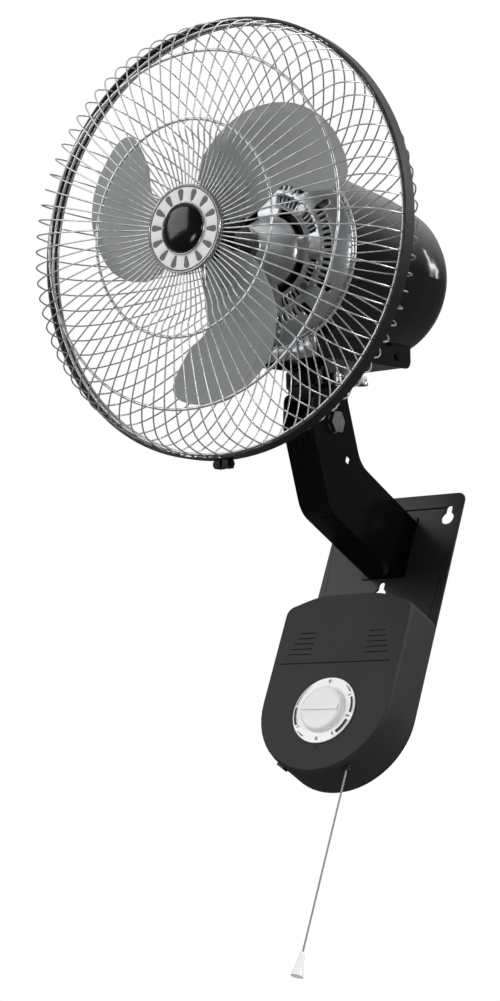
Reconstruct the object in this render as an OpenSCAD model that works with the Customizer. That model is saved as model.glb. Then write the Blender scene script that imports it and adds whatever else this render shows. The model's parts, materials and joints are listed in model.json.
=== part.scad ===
// Wall mounted fan: a plate with keyholes carries a bent channel arm and a control box.
// The arm's fork holds a tilting neck, and the head swings on the neck.
// Row frame: x to the right, y into the wall, z up; zero on the plate's back at the upper keyholes.
// Head frame, used inside in_head(): x right, y up the head, z forward along the fan's axis.

/* [Wall plate] */
// Width of the wall plate
plate_w = 164; // [150:1:180]
// Height of the wall plate
plate_h = 361; // [340:1:380]
// Thickness of the wall plate
plate_t = 2.5; // [2:0.1:4]
// Corner radius at the top of the plate
plate_corner_r = 10; // [4:1:16]
// Height of the plate above the upper keyholes
plate_top = 32; // [26:1:40]
// Distance between the two upper keyholes
keyhole_spacing = 130; // [110:1:136]
// Drop from the upper keyholes to the middle one
keyhole_drop = 93; // [85:1:100]
// Radius of a keyhole's round entry
keyhole_r = 7.5; // [5:0.1:9]
// Width of a keyhole's slot
keyhole_slot_w = 7; // [5:0.1:8]
// Height of a keyhole's slot above its entry
keyhole_rise = 12.5; // [10:0.5:16]

/* [Arm] */
// Outer width of the channel arm
arm_w = 38; // [34:1:46]
// Sheet thickness of the arm
arm_t = 2; // [1.5:0.1:3]
// Depth of the arm's side
arm_depth = 76; // [66:1:84]
// Top edge of the arm above the upper keyholes
arm_top = 4; // [0:1:12]
// Reach of the arm's lower edge to its bend
arm_reach = 149.5; // [135:0.5:160]
// Reach of the tilt bolt from the wall
bolt_reach = 182.5; // [172:0.5:195]
// Height of the tilt bolt above the upper keyholes
bolt_height = 17.5; // [10:0.5:25]
// Radius of the tilt bolt
bolt_r = 6; // [5:0.1:7]
// Width across the flats of the tilt bolt's head
bolt_flats = 22; // [18:0.5:26]

/* [Head] */
// Tilt of the head below level
head_tilt = 26; // [10:1:36]
// Distance from the tilt bolt forward to the guard's middle plane
head_forward = 172; // [160:1:190]
// Distance from the tilt bolt up to the fan's axis
head_up = 171; // [165:1:185]
// Distance from the guard's middle plane back to the swing axis
swing_back = 165; // [158:1:172]

/* [Guard] */
// Outer radius of the guard's band
guard_r = 225; // [200:1:240]
// Width of the guard's band
band_w = 16; // [12:1:20]
// Thickness of the guard's band
band_t = 1.6; // [1:0.1:2.5]
// Number of wires in each guard
wire_count = 78; // [60:1:90]
// Diameter of a guard wire
wire_d = 2; // [1.6:0.1:2.6]
// Diameter of a guard ring's wire
ring_d = 3; // [2.4:0.1:4]
// Radius of the front guard's inner ring
front_ring_r = 108.8; // [100:0.1:120]
// Radius of the front guard's outer ring
front_ring2_r = 179.6; // [165:0.1:190]
// Height of the front guard's crown over the middle plane
crown = 67; // [58:1:76]
// Gap between the motor's front shield and the rear guard's seat ring
seat_gap = 1.5; // [1.2:0.1:2]
// Depth of the rear guard's seat ring behind the middle plane
seat_depth = 100; // [96:1:104]
// Radius of the badge
badge_r = 43; // [38:1:50]
// Distance from the middle plane forward to the badge
badge_forward = 61; // [60:0.5:64]

/* [Blades] */
// Number of blades
blade_count = 3; // [3:1:3]
// Greatest radius of the blades
blade_r = 170; // [150:1:176]
// Thickness of a blade
blade_t = 1.4; // [1:0.1:2]
// Radius of the black hub
hub_r = 21; // [18:1:26]
// Angle of the first blade from the top
blade_turn = 0; // [-60:1:60]

/* [Motor] */
// Radius of the motor's front shield at its rim
shield_r = 95; // [90:0.5:95]
// Wall of the shields
shield_t = 3.5; // [2.5:0.1:4]
// Radius of the rear cover
cover_r = 98; // [98:0.5:102]
// Length of the rear cover
cover_len = 220; // [205:1:235]
// Wall of the rear cover
cover_t = 2.2; // [1.6:0.1:2.4]
// Half width of the skirt below the motor
skirt_half = 45; // [42:1:50]
// Depth of the skirt's foot below the fan's axis
skirt_drop = 112; // [110:1:116]
// Length of the skirt
skirt_len = 185; // [175:1:195]
// Radius of the motor's shaft
shaft_r = 5; // [4:0.1:6]
// Radius of the stator's core
stator_r = 62; // [55:1:70]
// Length of the stator's core
stator_len = 30; // [24:1:32]

/* [Control box] */
// Depth of the control box in front of the plate
box_depth = 50; // [46:1:56]
// Top of the control box below the upper keyholes
box_top = 116; // [112:1:120]
// Wall of the control box
box_t = 2.5; // [2:0.1:3]
// Centre of the dial below the upper keyholes
dial_drop = 258; // [250:1:262]
// Radius of the number dial
dial_r = 37.8; // [34:0.1:40]
// Radius of the knob on the dial
knob_r = 26; // [22:0.5:29]
// Diameter of the pull cord
cord_d = 2; // [1.5:0.1:3]
// Length of the bell pull
bell_len = 25; // [20:1:36]

/* [Hidden] */

// Overrun of every cut
over = 1;
// Gap between neighbours that don't fit in each other
slack = 0.3;
// Radial gap of a shaft in its bore
running = 0.05;
// Gap left between a wire and the ring behind it
weld_gap = 0.15;
// Thickness of the thin slices that a blended shell is drawn over
slice_t = 0.1;

// Plate
plate_half = plate_w / 2;
plate_round_z = plate_top - plate_h + plate_half;
keyhole_x = keyhole_spacing / 2;
plate_front = -plate_t;

// Foot and arm
foot_t = 2;
foot_lip = 8.5;
foot_weld_r = 3;
foot_weld_t = 0.8;
foot_weld_drop = 14;
arm_start = plate_t + foot_t;
arm_low = arm_top - arm_depth;
arm_bend_r = 34;
fork_corner_r = 11;
knee_run = 66.5;
fork_front = 46;
fork_front_rise = 10.5;
fork_back = 10.5;
fork_back_rise = 40.5;
arm_in = arm_w / 2 - arm_t;
arm_out = arm_w / 2;
knee = [arm_reach + knee_run, arm_low + knee_run];
fork_tip = [bolt_reach + fork_front, bolt_height + fork_front_rise];
fork_heel = [bolt_reach - fork_back, bolt_height + fork_back_rise];
arm_crook = [fork_heel[0] - fork_heel[1] + arm_top, arm_top];
arm_far = fork_tip[0] + over;
arm_high = fork_heel[1] + over;
tab_side = 8;
tab_reach = arm_reach - tab_side / 2;
tab_z = arm_low + arm_depth * 0.83;
web_slot_w = 1.7;
web_slot_len = 7;
web_slot_step = 5.7;
web_slot_x = 3.6;
web_dot_r = 1.1;
web_slot_share = 0.84;

// Tilt bolt
washer_t = 1.2;
washer_r = 12;
bolt_head_t = 5.5;
bolt_end = 3;
bolt_seat = arm_out + slack / 2;

// Control box
box_front = plate_front - box_depth;
box_step = 1;
box_edge_r = 12;
box_arch = 15;
box_arch_r = 90;
box_crease_z = -200;
box_groove_w = 1.8;
box_groove_in = 2.4;
box_slices = [[0, 0], [30, 0.5], [44, 0.9], [48, 1.6], [50, 3.4]];
box_slice_depth = 50;
box_hollow = box_depth - box_t - box_step;
louvre_count = 5;
louvre_step = 6.4;
louvre_w = 1;
louvre_len = 30;
louvre_x = 44;
louvre_z = -164;
louvre_lean = 2.4;
box_screw_r = 1.8;
box_boss_r = 4.5;
box_screw_head_r = 3.6;
box_screw_head_t = 1.2;
box_screw_places = [[-66, -150], [66, -150], [-16, -314]];
dial_x = 2.5;
dial_z = -dial_drop;
pointer_w = 3;
pointer_h = 4;
pointer_t = 0.8;

// Switch, dial and pull
switch_w = 36;
switch_t = 20;
switch_neck_r = 6;
switch_front = plate_front - box_hollow + slack;
switch_back = switch_front + switch_t;
spindle_r = 3;
spindle_in = 12;
dial_t = 1.6;
dial_front = box_front - slack - dial_t;
knob_h = 8;
knob_ridge_w = 6;
knob_ridge_h = 3;
knob_boss_r = 9;
lever_r = 14;
lever_t = 2.5;
lever_w = 8;
lever_rise = 22.5;
lever_eye_r = 2.2;
stub_len = 4;
cord_hole_turn = 30;
grommet_r = 4;
grommet_bore = 1.7;
grommet_flange_r = 5.2;
grommet_flange_t = 1.5;
grommet_depth = 38;
grommet_len = 15;
box_low_r = plate_half - 1.6;
grommet_x = box_low_r * sin(cord_hole_turn);
grommet_y = plate_front - grommet_depth;
grommet_z = plate_round_z - box_low_r * cos(cord_hole_turn);
gland_turn = -31;
gland_w = 11;
gland_h = 8;
gland_out = 3;
gland_in = 8;
gland_bore = 3;
pull_wire_r = 0.8;
pull_wire_low = [38, -39, -291];
cord_route = [[40, -41, -290], [40, -41, -350], [40, -41, -405], [40, -41, -460], [40, -41, -518]];
cord_sides = 8;
cord_ring_share = 3;
bell_shares = [[0.08, 0], [0.12, 0.05], [0.13, 0.3], [0.17, 0.6], [0.23, 0.88], [0.26, 1], [0.21, 1], [0.16, 0.91], [0, 0.9]];
terminal_size = [44, 14, 15];
terminal_place = [-48, -168];
capacitor_size = [34, 20, 26];
capacitor_place = [14, -188];

// Neck
cheek_gap = 0.5;
cheek_t = 2.5;
cheek_out = arm_in - cheek_gap;
cheek_in = cheek_out - cheek_t;
neck_lead = 25;
neck_tail = 40;
neck_drop = 18;
neck_front = swing_back - neck_lead;
neck_rear = swing_back + neck_tail;
neck_top = -skirt_drop - neck_drop;
neck_plate_t = 3;
neck_low_r = 22;
neck_corner_r = 10;
bolt_y = head_forward;
bolt_z = -head_up;
spacer_r = 10;
pivot_r = 8;
pivot_boss_r = 14;
pivot_top = -86;
pivot_cap_r = 11;
pivot_cap_t = 2.5;
thrust_t = 0.9;
socket_r = 12.5;
socket_len = 25;
collar_r = 30;
collar_t = 4;
collar_h = 13;
collar_back = 12;
neck_ear_r = 8;

// Swing linkage
crank_back = 65;
post_side = 28;
crank_arm = 17;
link_len = 68.7;
crank_turn = 9.4;
crank_y = swing_back + crank_back;
crank_x_pin = crank_arm * cos(crank_turn);
crank_y_pin = crank_y + crank_arm * sin(crank_turn);
crank_r = 22;
crank_t = 3;
crank_drop = 2.5;
crank_top = -skirt_drop - crank_drop;
crank_spindle_r = 3.5;
crank_pin_r = 3;
crank_pin_len = 3.5;
crank_low = crank_top - crank_t;
link_t = 3;
link_w = 10;
link_eye_r = 7;
link_top = crank_low - crank_pin_len - slack;
link_low = link_top - link_t;
link_open_gap = 0.4;
post_r = 4;
post_shoulder_r = 6.5;
post_over = 2;
swing_motor_r = 25;
swing_motor_h = 20;
swing_motor_bore_len = 10;

// Shields and motor, forward distances are along the fan's axis
shield_back = -104;
shield_shares = [[0.147, 0.385], [0.21, 0.404], [0.39, 0.788], [0.51, 0.808], [0.522, 0.827], [0.674, 0.827],
  [0.758, 0.846], [0.832, 0.875], [0.905, 0.918], [0.968, 0.962], [1, 1]];
shield_line = [for (s = shield_shares) [s[0] * shield_r, s[1] * shield_back]];
shield_face = shield_line[4][1];
shield_shoulder = shield_line[7][1];
nose_r = 14;
bush_r = 9;
bush_len = 16;
bush_front = shield_line[0][1];
arc_slot_in = 38.5;
arc_slot_out = 47.5;
arc_slot_turn = 16;
arc_slot_span = 52;
vent_in = 52;
vent_out = 61;
vent_w = 3.2;
vent_side_count = 5;
vent_first = 8.6;
vent_step = 5.2;
rim_vent_in = 67.5;
rim_vent_out = 75.5;
rim_vent_w = 3;
rim_vent_side_count = 6;
rim_vent_step = 5.2;
lug_in = 73;
lug_out = 80;
lug_notch_r = 4;
lug_turn = 11.5;
foot_front = -98;
foot_top = -66;
foot_boss_r = 10.5;
foot_boss_h = 12;
foot_boss_z = shield_back + foot_boss_h;
foot_screw_y = -83;
foot_screw_len = 16;
foot_screw_r = 2.5;
foot_screw_head_r = 9;
foot_screw_head_t = 4.4;
foot_screw_dome_shares = [[1, 0], [1, 0.25], [0.9, 0.6], [0.62, 0.88], [0, 1]];
rear_flange_t = 3.5;
rear_flange_r = 94.5;
rear_wall_r = 81.5;
rear_plate_z = -150;
rear_boss_r = 14;
rear_boss_len = 12;
rear_vent_in = 40;
rear_vent_out = 54;
stator_front = -102;
stator_bore = 30.6;
winding_in = 36;
winding_out = 55.5;
winding_t = 11;
motor_bolt_r = 2.4;
motor_bolt_pcr = 58.5;
motor_bolt_head_t = 2.5;
motor_bolt_head_r = 4.5;
motor_bolt_count = 4;
motor_post_r = 6;
shaft_front = 15;
shaft_back = -165;
rotor_r = 30;

// Rear cover and skirt
cover_front = -104.6;
cover_shares = [[0, 0.995], [0.25, 1], [0.45, 0.98], [0.64, 0.96], [0.8, 0.922], [0.88, 0.892],
  [0.935, 0.838], [0.97, 0.755], [0.99, 0.64], [1, 0.47], [1.008, 0.22], [1.01, 0]];
skirt_front = 105;
skirt_corner_r = 10;
skirt_rise = 10;
skirt_high = -40;
base_t = 4;
base_gap = 0.3;
base_low = slack + skirt_rise - skirt_drop;
base_top = base_low + base_t;
pedestal_w = 28;
pedestal_front = 109;
pedestal_back = 130;
cover_screw_r = 1.7;
cover_screw_len = 9;
cover_screw_head_r = 4;
cover_screw_head_t = 2;
cover_screw_lead = 28;
cover_screw_y = skirt_front + skirt_len - cover_screw_lead;
cover_screw_z = -92;
cover_lug_w = 10;

// Guards
wire_r = wire_d / 2;
ring_r = ring_d / 2;
seat_ring_r = shield_r + seat_gap + ring_r;
rim_wire_r = guard_r - band_t - slack - wire_r;
rim_ring_r = rim_wire_r - wire_r - weld_gap - ring_r;
rim_ring_z = 3.6;
rim_wire_end = 2;
under_wire = wire_r + ring_r + weld_gap;
front_shares = [[0.182, 0.85], [0.267, 0.857], [0.34, 0.885], [0.385, 0.912], [0.43, 0.985]];
front_shoulder_shares = [[0.892, 0.75], [0.942, 0.57], [0.972, 0.3]];
front_ring2_share = 0.873;
front_path = concat([for (s = front_shares) [s[0] * guard_r, s[1] * crown]],
  [[front_ring_r, crown], [(front_ring_r + front_ring2_r) / 2, crown * (1 + front_ring2_share) / 2 + ring_r / 2],
   [front_ring2_r, crown * front_ring2_share]],
  [for (s = front_shoulder_shares) [s[0] * guard_r, s[1] * crown]],
  [[rim_wire_r, rim_wire_end]]);
seat_wire_z = under_wire - seat_depth;
rear_shares = [[0.62, -0.89], [0.735, -0.78], [0.866, -0.57], [0.947, -0.33], [0.976, -0.16]];
rear_lead_in = 3;
rear_lead_rise = 0.4;
rear_lead_out = 13;
front_splits = [5, 7, 9];
rear_splits = [3, 5, 6];
split_gap = 0.05;
rear_path = concat([[seat_ring_r - rear_lead_in, seat_wire_z + rear_lead_rise], [seat_ring_r, seat_wire_z],
   [seat_ring_r + rear_lead_out, seat_wire_z + ring_r]],
  [for (s = rear_shares) [s[0] * guard_r, s[1] * seat_depth]],
  [[rim_wire_r, -rim_wire_end]]);
wire_sides = 4;
band_lip = 0.8;
band_lip_t = 1;
band_split = 3;
ear_w = 7;
ear_h = 9;
ear_depth = 11;
band_screw_r = 2;
band_screw_head_r = 3.8;
band_screw_head_t = 2.5;
clip_w = 4;
clip_t = 1.6;
clip_count = 4;
clip_len = 5.7;
backing_in = 40.3;
backing_t = 1.5;
badge_slots = 14;
badge_slot_in = 28.8;
badge_slot_out = 39.8;
badge_slot_r = 3.3;
badge_slot_tip_r = 1.4;
badge_slot_turn = -8.2;
badge_rim_t = 1.8;
badge_cap_r = 24.8;
badge_cap_h = 7;
badge_cap_lip = 2;
badge_back_z = crown * front_shares[1][1] + wire_r + weld_gap;
badge_t = badge_forward - badge_back_z;
backing_z = crown * front_shares[0][1] - wire_r - weld_gap - backing_t;

// Blades, each row is a share of the radius with the two edges' angles from the blade's start
blade_mid = 17;
blade_slope = 0.3;
blade_mid_turn = 36;
blade_camber = 7;
blade_camber_turn = 40;
blade_rows = [[0.15, 2, 66], [0.2, 1.5, 69], [0.27, 1.4, 71], [0.345, -2.4, 71], [0.42, -1.1, 69], [0.49, 2.6, 66.5], [0.55, 6.8, 65.6],
  [0.6, 10, 69], [0.68, 15.8, 75.5], [0.75, 21.2, 77.8], [0.82, 28, 79.3], [0.89, 36, 80],
  [0.945, 44.5, 79.2], [0.985, 53, 76], [1, 60, 71]];
blade_cols = [0, 0.08, 0.16, 0.3, 0.5, 0.72, 0.9, 1];
blade_flap_share = 0.16;
blade_flap = 4;
blade_flap_from = 0.3;
blade_flap_to = 0.93;
spider_t = 2.4;
spider_gap = 0.7;
spider_row_shares = [0.165, 0.212, 0.259, 0.294, 0.341, 0.388];
spider_rows = concat([hub_r + spider_gap], [for (s = spider_row_shares) s * blade_r]);
spider_half = [42, 40, 36, 28, 20, 16, 13];
spider_cols = [for (i = [-5 : 5]) i / 5];
spider_start = spider_row_shares[0] * blade_r;
spider_join = spider_row_shares[2] * blade_r;
hub_front = 4;
hub_len = 33;
rivet_r = 1.9;
rivet_head_r = 3.6;
rivet_head_t = 1.4;
rivet_places = [[0.294, -12], [0.294, 12], [0.359, -8], [0.359, 8]];
root_share = 0.2;
hub_nut_r = 12;
hub_nut_len = 14;
hub_nut_end = 2;
shaft_gap = 0.5;

// Outlines and sweeps
function unit(v) = v / norm(v);
function angle_of(v) = atan2(v[1], v[0]);
function short_turn(a) = a > 180 ? a - 360 : a < -180 ? a + 360 : a;
function corner(a, b, c, r, n) =
  let (u = unit(a - b), w = unit(c - b), half = acos(u * w) / 2)
  let (m = b + unit(u + w) * r / sin(half))
  let (from = angle_of(b + u * r / tan(half) - m), to = angle_of(b + w * r / tan(half) - m))
  [for (i = [0 : n]) m + r * [cos(from + short_turn(to - from) * i / n), sin(from + short_turn(to - from) * i / n)]];
function rounded(pts, radii, n = 6) =
  let (count = len(pts))
  [for (i = [0 : count - 1]) each radii[i] > 0
    ? corner(pts[(i + count - 1) % count], pts[i], pts[(i + 1) % count], radii[i], n) : [pts[i]]];
function half_round(r, z, n = 32) = [for (i = [0 : n]) [r * cos(180 * i / n), z - r * sin(180 * i / n)]];

// A tube of given sides along a path that stays square to the direction given as across
function tube_ring(path, i, across) =
  let (last = len(path) - 1)
  let (along = unit(path[min(i + 1, last)] - path[max(i - 1, 0)]))
  let (side = unit(across - (across * along) * along))
  [side, cross(along, side)];
function tube_points(path, r, sides, across) =
  [for (i = [0 : len(path) - 1]) let (f = tube_ring(path, i, across))
    for (k = [0 : sides - 1]) path[i] + r * (cos(360 * k / sides) * f[0] + sin(360 * k / sides) * f[1])];
function tube_faces(rows, sides) = concat(
  [for (i = [0 : rows - 2]) for (k = [0 : sides - 1])
    let (a = i * sides + k, b = i * sides + (k + 1) % sides) each [[a, b, b + sides], [a, b + sides, a + sides]]],
  [for (k = [1 : sides - 2]) [0, k + 1, k]],
  [for (k = [1 : sides - 2]) let (s = (rows - 1) * sides) [s, s + k, s + k + 1]]);
module tube(path, r, sides, across) {
  polyhedron(tube_points(path, r, sides, across), tube_faces(len(path), sides), convexity = 4);
}
// A length of such a tube from one point to another, with a fine gap before its first ring
function length_points(path, from, to, r, sides, across, gap) =
  [for (i = [from : to]) let (f = tube_ring(path, i, across))
    let (centre = path[i] + (i == from ? gap : 0) * cross(f[0], f[1]))
    for (k = [0 : sides - 1]) centre + r * (cos(360 * k / sides) * f[0] + sin(360 * k / sides) * f[1])];
module tube_length(path, from, to, r, sides, across, gap) {
  polyhedron(length_points(path, from, to, r, sides, across, gap), tube_faces(to - from + 1, sides), convexity = 4);
}

// Places a child in the head's frame, and in the same frame with z forward along the fan's axis
module in_head() {
  translate([0, -bolt_reach, bolt_height])
    rotate([head_tilt, 0, 0])
      translate([0, -head_forward, head_up])
        children();
}
module on_axis() {
  in_head() rotate([90, 0, 0]) children();
}
// Turns an outline drawn as reach and height into a solid across the arm's width
module side_on(width) {
  rotate([90, 0, -90]) linear_extrude(width, center = true, convexity = 4) children();
}
// A bolt's place, with z to the right
module at_bolt() {
  translate([0, -bolt_reach, bolt_height]) rotate([0, 90, 0]) children();
}
module torus(major, minor, z, n = 120) {
  translate([0, 0, z]) rotate_extrude($fn = n) translate([major, 0]) circle(minor, $fn = 20);
}
module hollow(r_out, r_in, h, n = 64) {
  difference() {
    cylinder(h, r = r_out, $fn = n);
    translate([0, 0, -over]) cylinder(h + 2 * over, r = r_in, $fn = n);
  }
}

// Wall plate
module keyhole() {
  circle(keyhole_r, $fn = 48);
  translate([-keyhole_slot_w / 2, 0]) square([keyhole_slot_w, keyhole_rise]);
  translate([0, keyhole_rise]) circle(keyhole_slot_w / 2, $fn = 32);
}
module wall_plate() {
  corners = [[plate_half, plate_top], [-plate_half, plate_top]];
  top = concat(corner([plate_half, plate_round_z], corners[0], corners[1], plate_corner_r, 8),
    corner(corners[0], corners[1], [-plate_half, plate_round_z], plate_corner_r, 8));
  low = half_round(plate_half, plate_round_z, 48);
  color("#242424") rotate([90, 0, 0]) linear_extrude(plate_t, convexity = 6) difference() {
    polygon(concat(top, [for (i = [len(low) - 1 : -1 : 0]) low[i]]));
    translate([-keyhole_x, 0]) keyhole();
    translate([keyhole_x, 0]) keyhole();
    translate([0, -keyhole_drop]) keyhole();
    for (p = box_screw_places) translate(p) circle(box_screw_r + running, $fn = 24);
  }
}

// Arm
module arm_outline() {
  pts = [[arm_start, arm_low], [arm_reach, arm_low], knee, fork_tip, fork_heel, arm_crook, [arm_start, arm_top]];
  polygon(rounded(pts, [0, arm_bend_r, arm_bend_r, fork_corner_r, fork_corner_r, arm_bend_r, 0], 8));
}
module arm_hollow() {
  inset = arm_t * tan(22.5);
  web_end = [knee[0] - arm_t * cos(45) - inset, knee[1] + arm_t * sin(45) - inset];
  pts = [[arm_start - over, arm_low + arm_t], [arm_reach - inset, arm_low + arm_t], web_end, [arm_far, web_end[1]],
    [arm_far, arm_high], [arm_start - over, arm_high]];
  polygon(rounded(pts, [0, arm_bend_r - arm_t, 0, 0, 0, 0], 8));
}
module arm_bracket() {
  slot_u = arm_reach + knee_run * web_slot_share;
  color("#101010") difference() {
    side_on(arm_w) arm_outline();
    side_on(arm_w - 2 * arm_t) arm_hollow();
    at_bolt() cylinder(arm_w + 2 * over, r = bolt_r + running, center = true, $fn = 48);
    translate([arm_in - over, -tab_reach, tab_z]) cube([arm_t + 2 * over, tab_side, tab_side]);
    translate([0, -slot_u, arm_low + knee_run * web_slot_share]) rotate([45, 0, 0]) {
      for (i = [0, 1])
        translate([web_slot_x + i * web_slot_step, 0, 0])
          cube([web_slot_w, arm_t * 4, web_slot_len], center = true);
      translate([-web_slot_x, 0, 0]) rotate([90, 0, 0]) cylinder(arm_t * 4, r = web_dot_r, center = true, $fn = 16);
    }
  }
}
module arm_foot() {
  foot_half = arm_out + foot_lip;
  color("#141414") {
    difference() {
      translate([-foot_half, plate_front - foot_t, arm_low - over]) cube([2 * foot_half, foot_t, arm_depth]);
      translate([-arm_in, plate_front - foot_t - over, arm_low + foot_lip])
        cube([2 * arm_in, foot_t + 2 * over, arm_depth - 3 * foot_lip]);
    }
    for (side = [-1, 1]) for (drop = [foot_weld_drop, arm_depth - foot_weld_drop])
      translate([side * (arm_out + foot_lip / 2), plate_front - foot_t, arm_top - drop]) rotate([90, 0, 0])
        cylinder(foot_weld_t, r = foot_weld_r, $fn = 24);
  }
}
module tilt_bolt() {
  shank = 2 * bolt_seat + 2 * washer_t + bolt_head_t + bolt_end;
  color("#b9bcc0") at_bolt() {
    translate([0, 0, bolt_seat + washer_t - shank]) cylinder(shank, r = bolt_r, $fn = 48);
    translate([0, 0, bolt_seat + washer_t]) cylinder(bolt_head_t, d = bolt_flats / cos(30), $fn = 6);
  }
}
module tilt_nut() {
  color("#b9bcc0") at_bolt() translate([0, 0, -bolt_seat - washer_t - bolt_head_t]) difference() {
    cylinder(bolt_head_t, d = bolt_flats / cos(30), $fn = 6);
    translate([0, 0, -over]) cylinder(bolt_head_t + 2 * over, r = bolt_r + running, $fn = 48);
  }
}
module tilt_washers() {
  color("#c4c7ca") at_bolt() for (z = [bolt_seat - slack / 4, -bolt_seat - washer_t + slack / 4])
    translate([0, 0, z]) hollow(washer_r, bolt_r + running, washer_t, 48);
}

// Control box
function box_outline(inset) =
  let (w = plate_half - inset, top = -box_top - inset, side = -box_top - box_arch - inset)
  concat(rounded([[-w, plate_round_z], [-w, side], [-w / 2, top], [w / 2, top], [w, side], [w, plate_round_z]],
    [0, box_edge_r - inset / 2, box_arch_r, box_arch_r, box_edge_r - inset / 2, 0], 5),
    half_round(w, plate_round_z, 28));
module box_slice(depth, inset) {
  translate([0, plate_front - depth, 0]) rotate([90, 0, 0]) linear_extrude(slice_t) polygon(box_outline(inset));
}
module box_form(depth, inset) {
  hull() for (s = box_slices)
    box_slice(max(s[0] * depth / box_slice_depth - slice_t, 0), s[1] + inset);
}
module louvres() {
  for (side = [-1, 1]) for (i = [0 : louvre_count - 1])
    translate([side * (louvre_x + i * louvre_lean / 2), box_front / 2, louvre_z - i * louvre_step])
      cube([louvre_len - (louvre_count - 1 - i) * louvre_lean, 2 * box_depth, louvre_w], center = true);
}
module box_cover() {
  color("#333333") {
    difference() {
      box_form(box_depth, 0);
      translate([0, over, 0]) box_form(box_hollow + over, box_t);
      translate([-plate_half, box_front - over, box_crease_z]) cube([plate_w, box_step + over, plate_h / 2]);
      translate([box_edge_r - plate_half, box_front - over, box_crease_z - box_groove_w])
        cube([plate_w - 2 * box_edge_r, box_groove_in + over, box_groove_w]);
      translate([dial_x, plate_front - box_hollow - over, dial_z]) rotate([90, 0, 0])
        translate([0, 0, -2 * over]) cylinder(box_depth, r = switch_neck_r + slack, $fn = 48);
      intersection() {
        louvres();
        translate([0, box_front, 0]) cube([plate_w, box_depth - box_t, plate_h * 2], center = true);
      }
      translate([grommet_x, grommet_y, grommet_z - grommet_len]) cylinder(2 * grommet_len, r = grommet_r + running, $fn = 32);
      gland_place() translate([0, 0, -gland_in]) cube([gland_w + slack, gland_h + slack, 4 * gland_in], center = true);
    }
    for (p = box_screw_places) translate([p[0], plate_front, p[1]]) rotate([90, 0, 0])
      hollow(box_boss_r, box_screw_r + running, box_hollow, 32);
    translate([dial_x - pointer_w / 2, box_front - pointer_t, dial_z - dial_r - pointer_h - over])
      cube([pointer_w, pointer_t, pointer_h]);
  }
}
module box_screws() {
  color("#8d8f92") for (p = box_screw_places) translate([p[0], 0, p[1]]) rotate([90, 0, 0])
    cylinder(box_depth / 2, r = box_screw_r, $fn = 24);
}
module gland_place() {
  translate([0, grommet_y, plate_round_z]) rotate([0, -gland_turn, 0]) translate([0, 0, -box_low_r]) children();
}
module mains_gland() {
  color("#181818") gland_place() difference() {
    translate([-gland_w / 2, -gland_h / 2, -gland_out]) cube([gland_w, gland_h, gland_out + gland_in]);
    translate([0, 0, -gland_out - over]) cylinder(gland_out + gland_in + 2 * over, r = gland_bore, $fn = 24);
  }
}
module cord_grommet() {
  color("#0c0c0c") translate([grommet_x, grommet_y, grommet_z - grommet_len / 3]) difference() {
    union() {
      cylinder(grommet_len, r = grommet_r, $fn = 32);
      translate([0, 0, grommet_len - grommet_flange_t]) cylinder(grommet_flange_t, r = grommet_flange_r, $fn = 32);
    }
    translate([0, 0, -over]) cylinder(grommet_len + 2 * over, r = grommet_bore, $fn = 24);
  }
}
module terminal_block() {
  color("#d8d4c8") translate([terminal_place[0], plate_front - terminal_size[1], terminal_place[1]])
    cube(terminal_size);
}
module run_capacitor() {
  color("#5a5c60") translate([capacitor_place[0], plate_front - capacitor_size[1], capacitor_place[1]])
    cube(capacitor_size);
}

// Switch, dial and pull cord
module on_dial(y) {
  translate([dial_x, y, dial_z]) rotate([90, 0, 0]) children();
}
module switch_body() {
  neck_len = switch_front - box_front;
  color("#2a2a2a") difference() {
    union() {
      on_dial(switch_back) translate([0, 0, switch_t / 2]) cube([switch_w, switch_w, switch_t], center = true);
      on_dial(switch_front) cylinder(neck_len, r = switch_neck_r, $fn = 48);
      on_dial(switch_back + stub_len) cylinder(stub_len, r = spindle_r, $fn = 32);
    }
    on_dial(switch_front + spindle_in) cylinder(spindle_in + neck_len + over, r = spindle_r + running, $fn = 32);
  }
}
module dial_knob() {
  base = dial_front - slack;
  color("#e4e5e5") difference() {
    union() {
      on_dial(switch_front + spindle_in - slack) cylinder(switch_front + spindle_in - slack - base, r = spindle_r, $fn = 32);
      on_dial(box_front - slack) cylinder(dial_t + 2 * slack, r = knob_boss_r, $fn = 48);
      on_dial(base) rotate_extrude($fn = 96)
        polygon([[0, 0], [knob_r, 0], [knob_r - over, knob_h - knob_ridge_h], [knob_r - 3 * over, knob_h - knob_ridge_h / 2], [0, knob_h - knob_ridge_h / 2]]);
      on_dial(base) translate([-knob_r + 4 * over, -knob_ridge_w / 2, 0]) cube([2 * knob_r - 8 * over, knob_ridge_w, knob_h]);
    }
  }
}
module number_dial() {
  color("#fbfbfb") on_dial(box_front - slack) hollow(dial_r, knob_boss_r + running, dial_t, 96);
}
module ratchet_lever() {
  color("#9ea2a6") on_dial(switch_back + lever_t + slack) difference() {
    union() {
      cylinder(lever_t, r = lever_w, $fn = 48);
      rotate([0, 0, lever_rise]) translate([0, -lever_w / 2, 0]) cube([lever_r, lever_w, lever_t]);
      rotate([0, 0, lever_rise]) translate([lever_r, 0, 0]) cylinder(lever_t, r = lever_w / 2, $fn = 32);
    }
    translate([0, 0, -over]) cylinder(lever_t + 2 * over, r = spindle_r + running, $fn = 32);
    rotate([0, 0, lever_rise]) translate([lever_r, 0, -over]) cylinder(lever_t + 2 * over, r = lever_eye_r, $fn = 24);
  }
}
function bent(a, b, c, d, t) = (2 * b + (c - a) * t + (2 * a - 5 * b + 4 * c - d) * t * t
  + (3 * b - a - 3 * c + d) * t * t * t) / 2;
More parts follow.
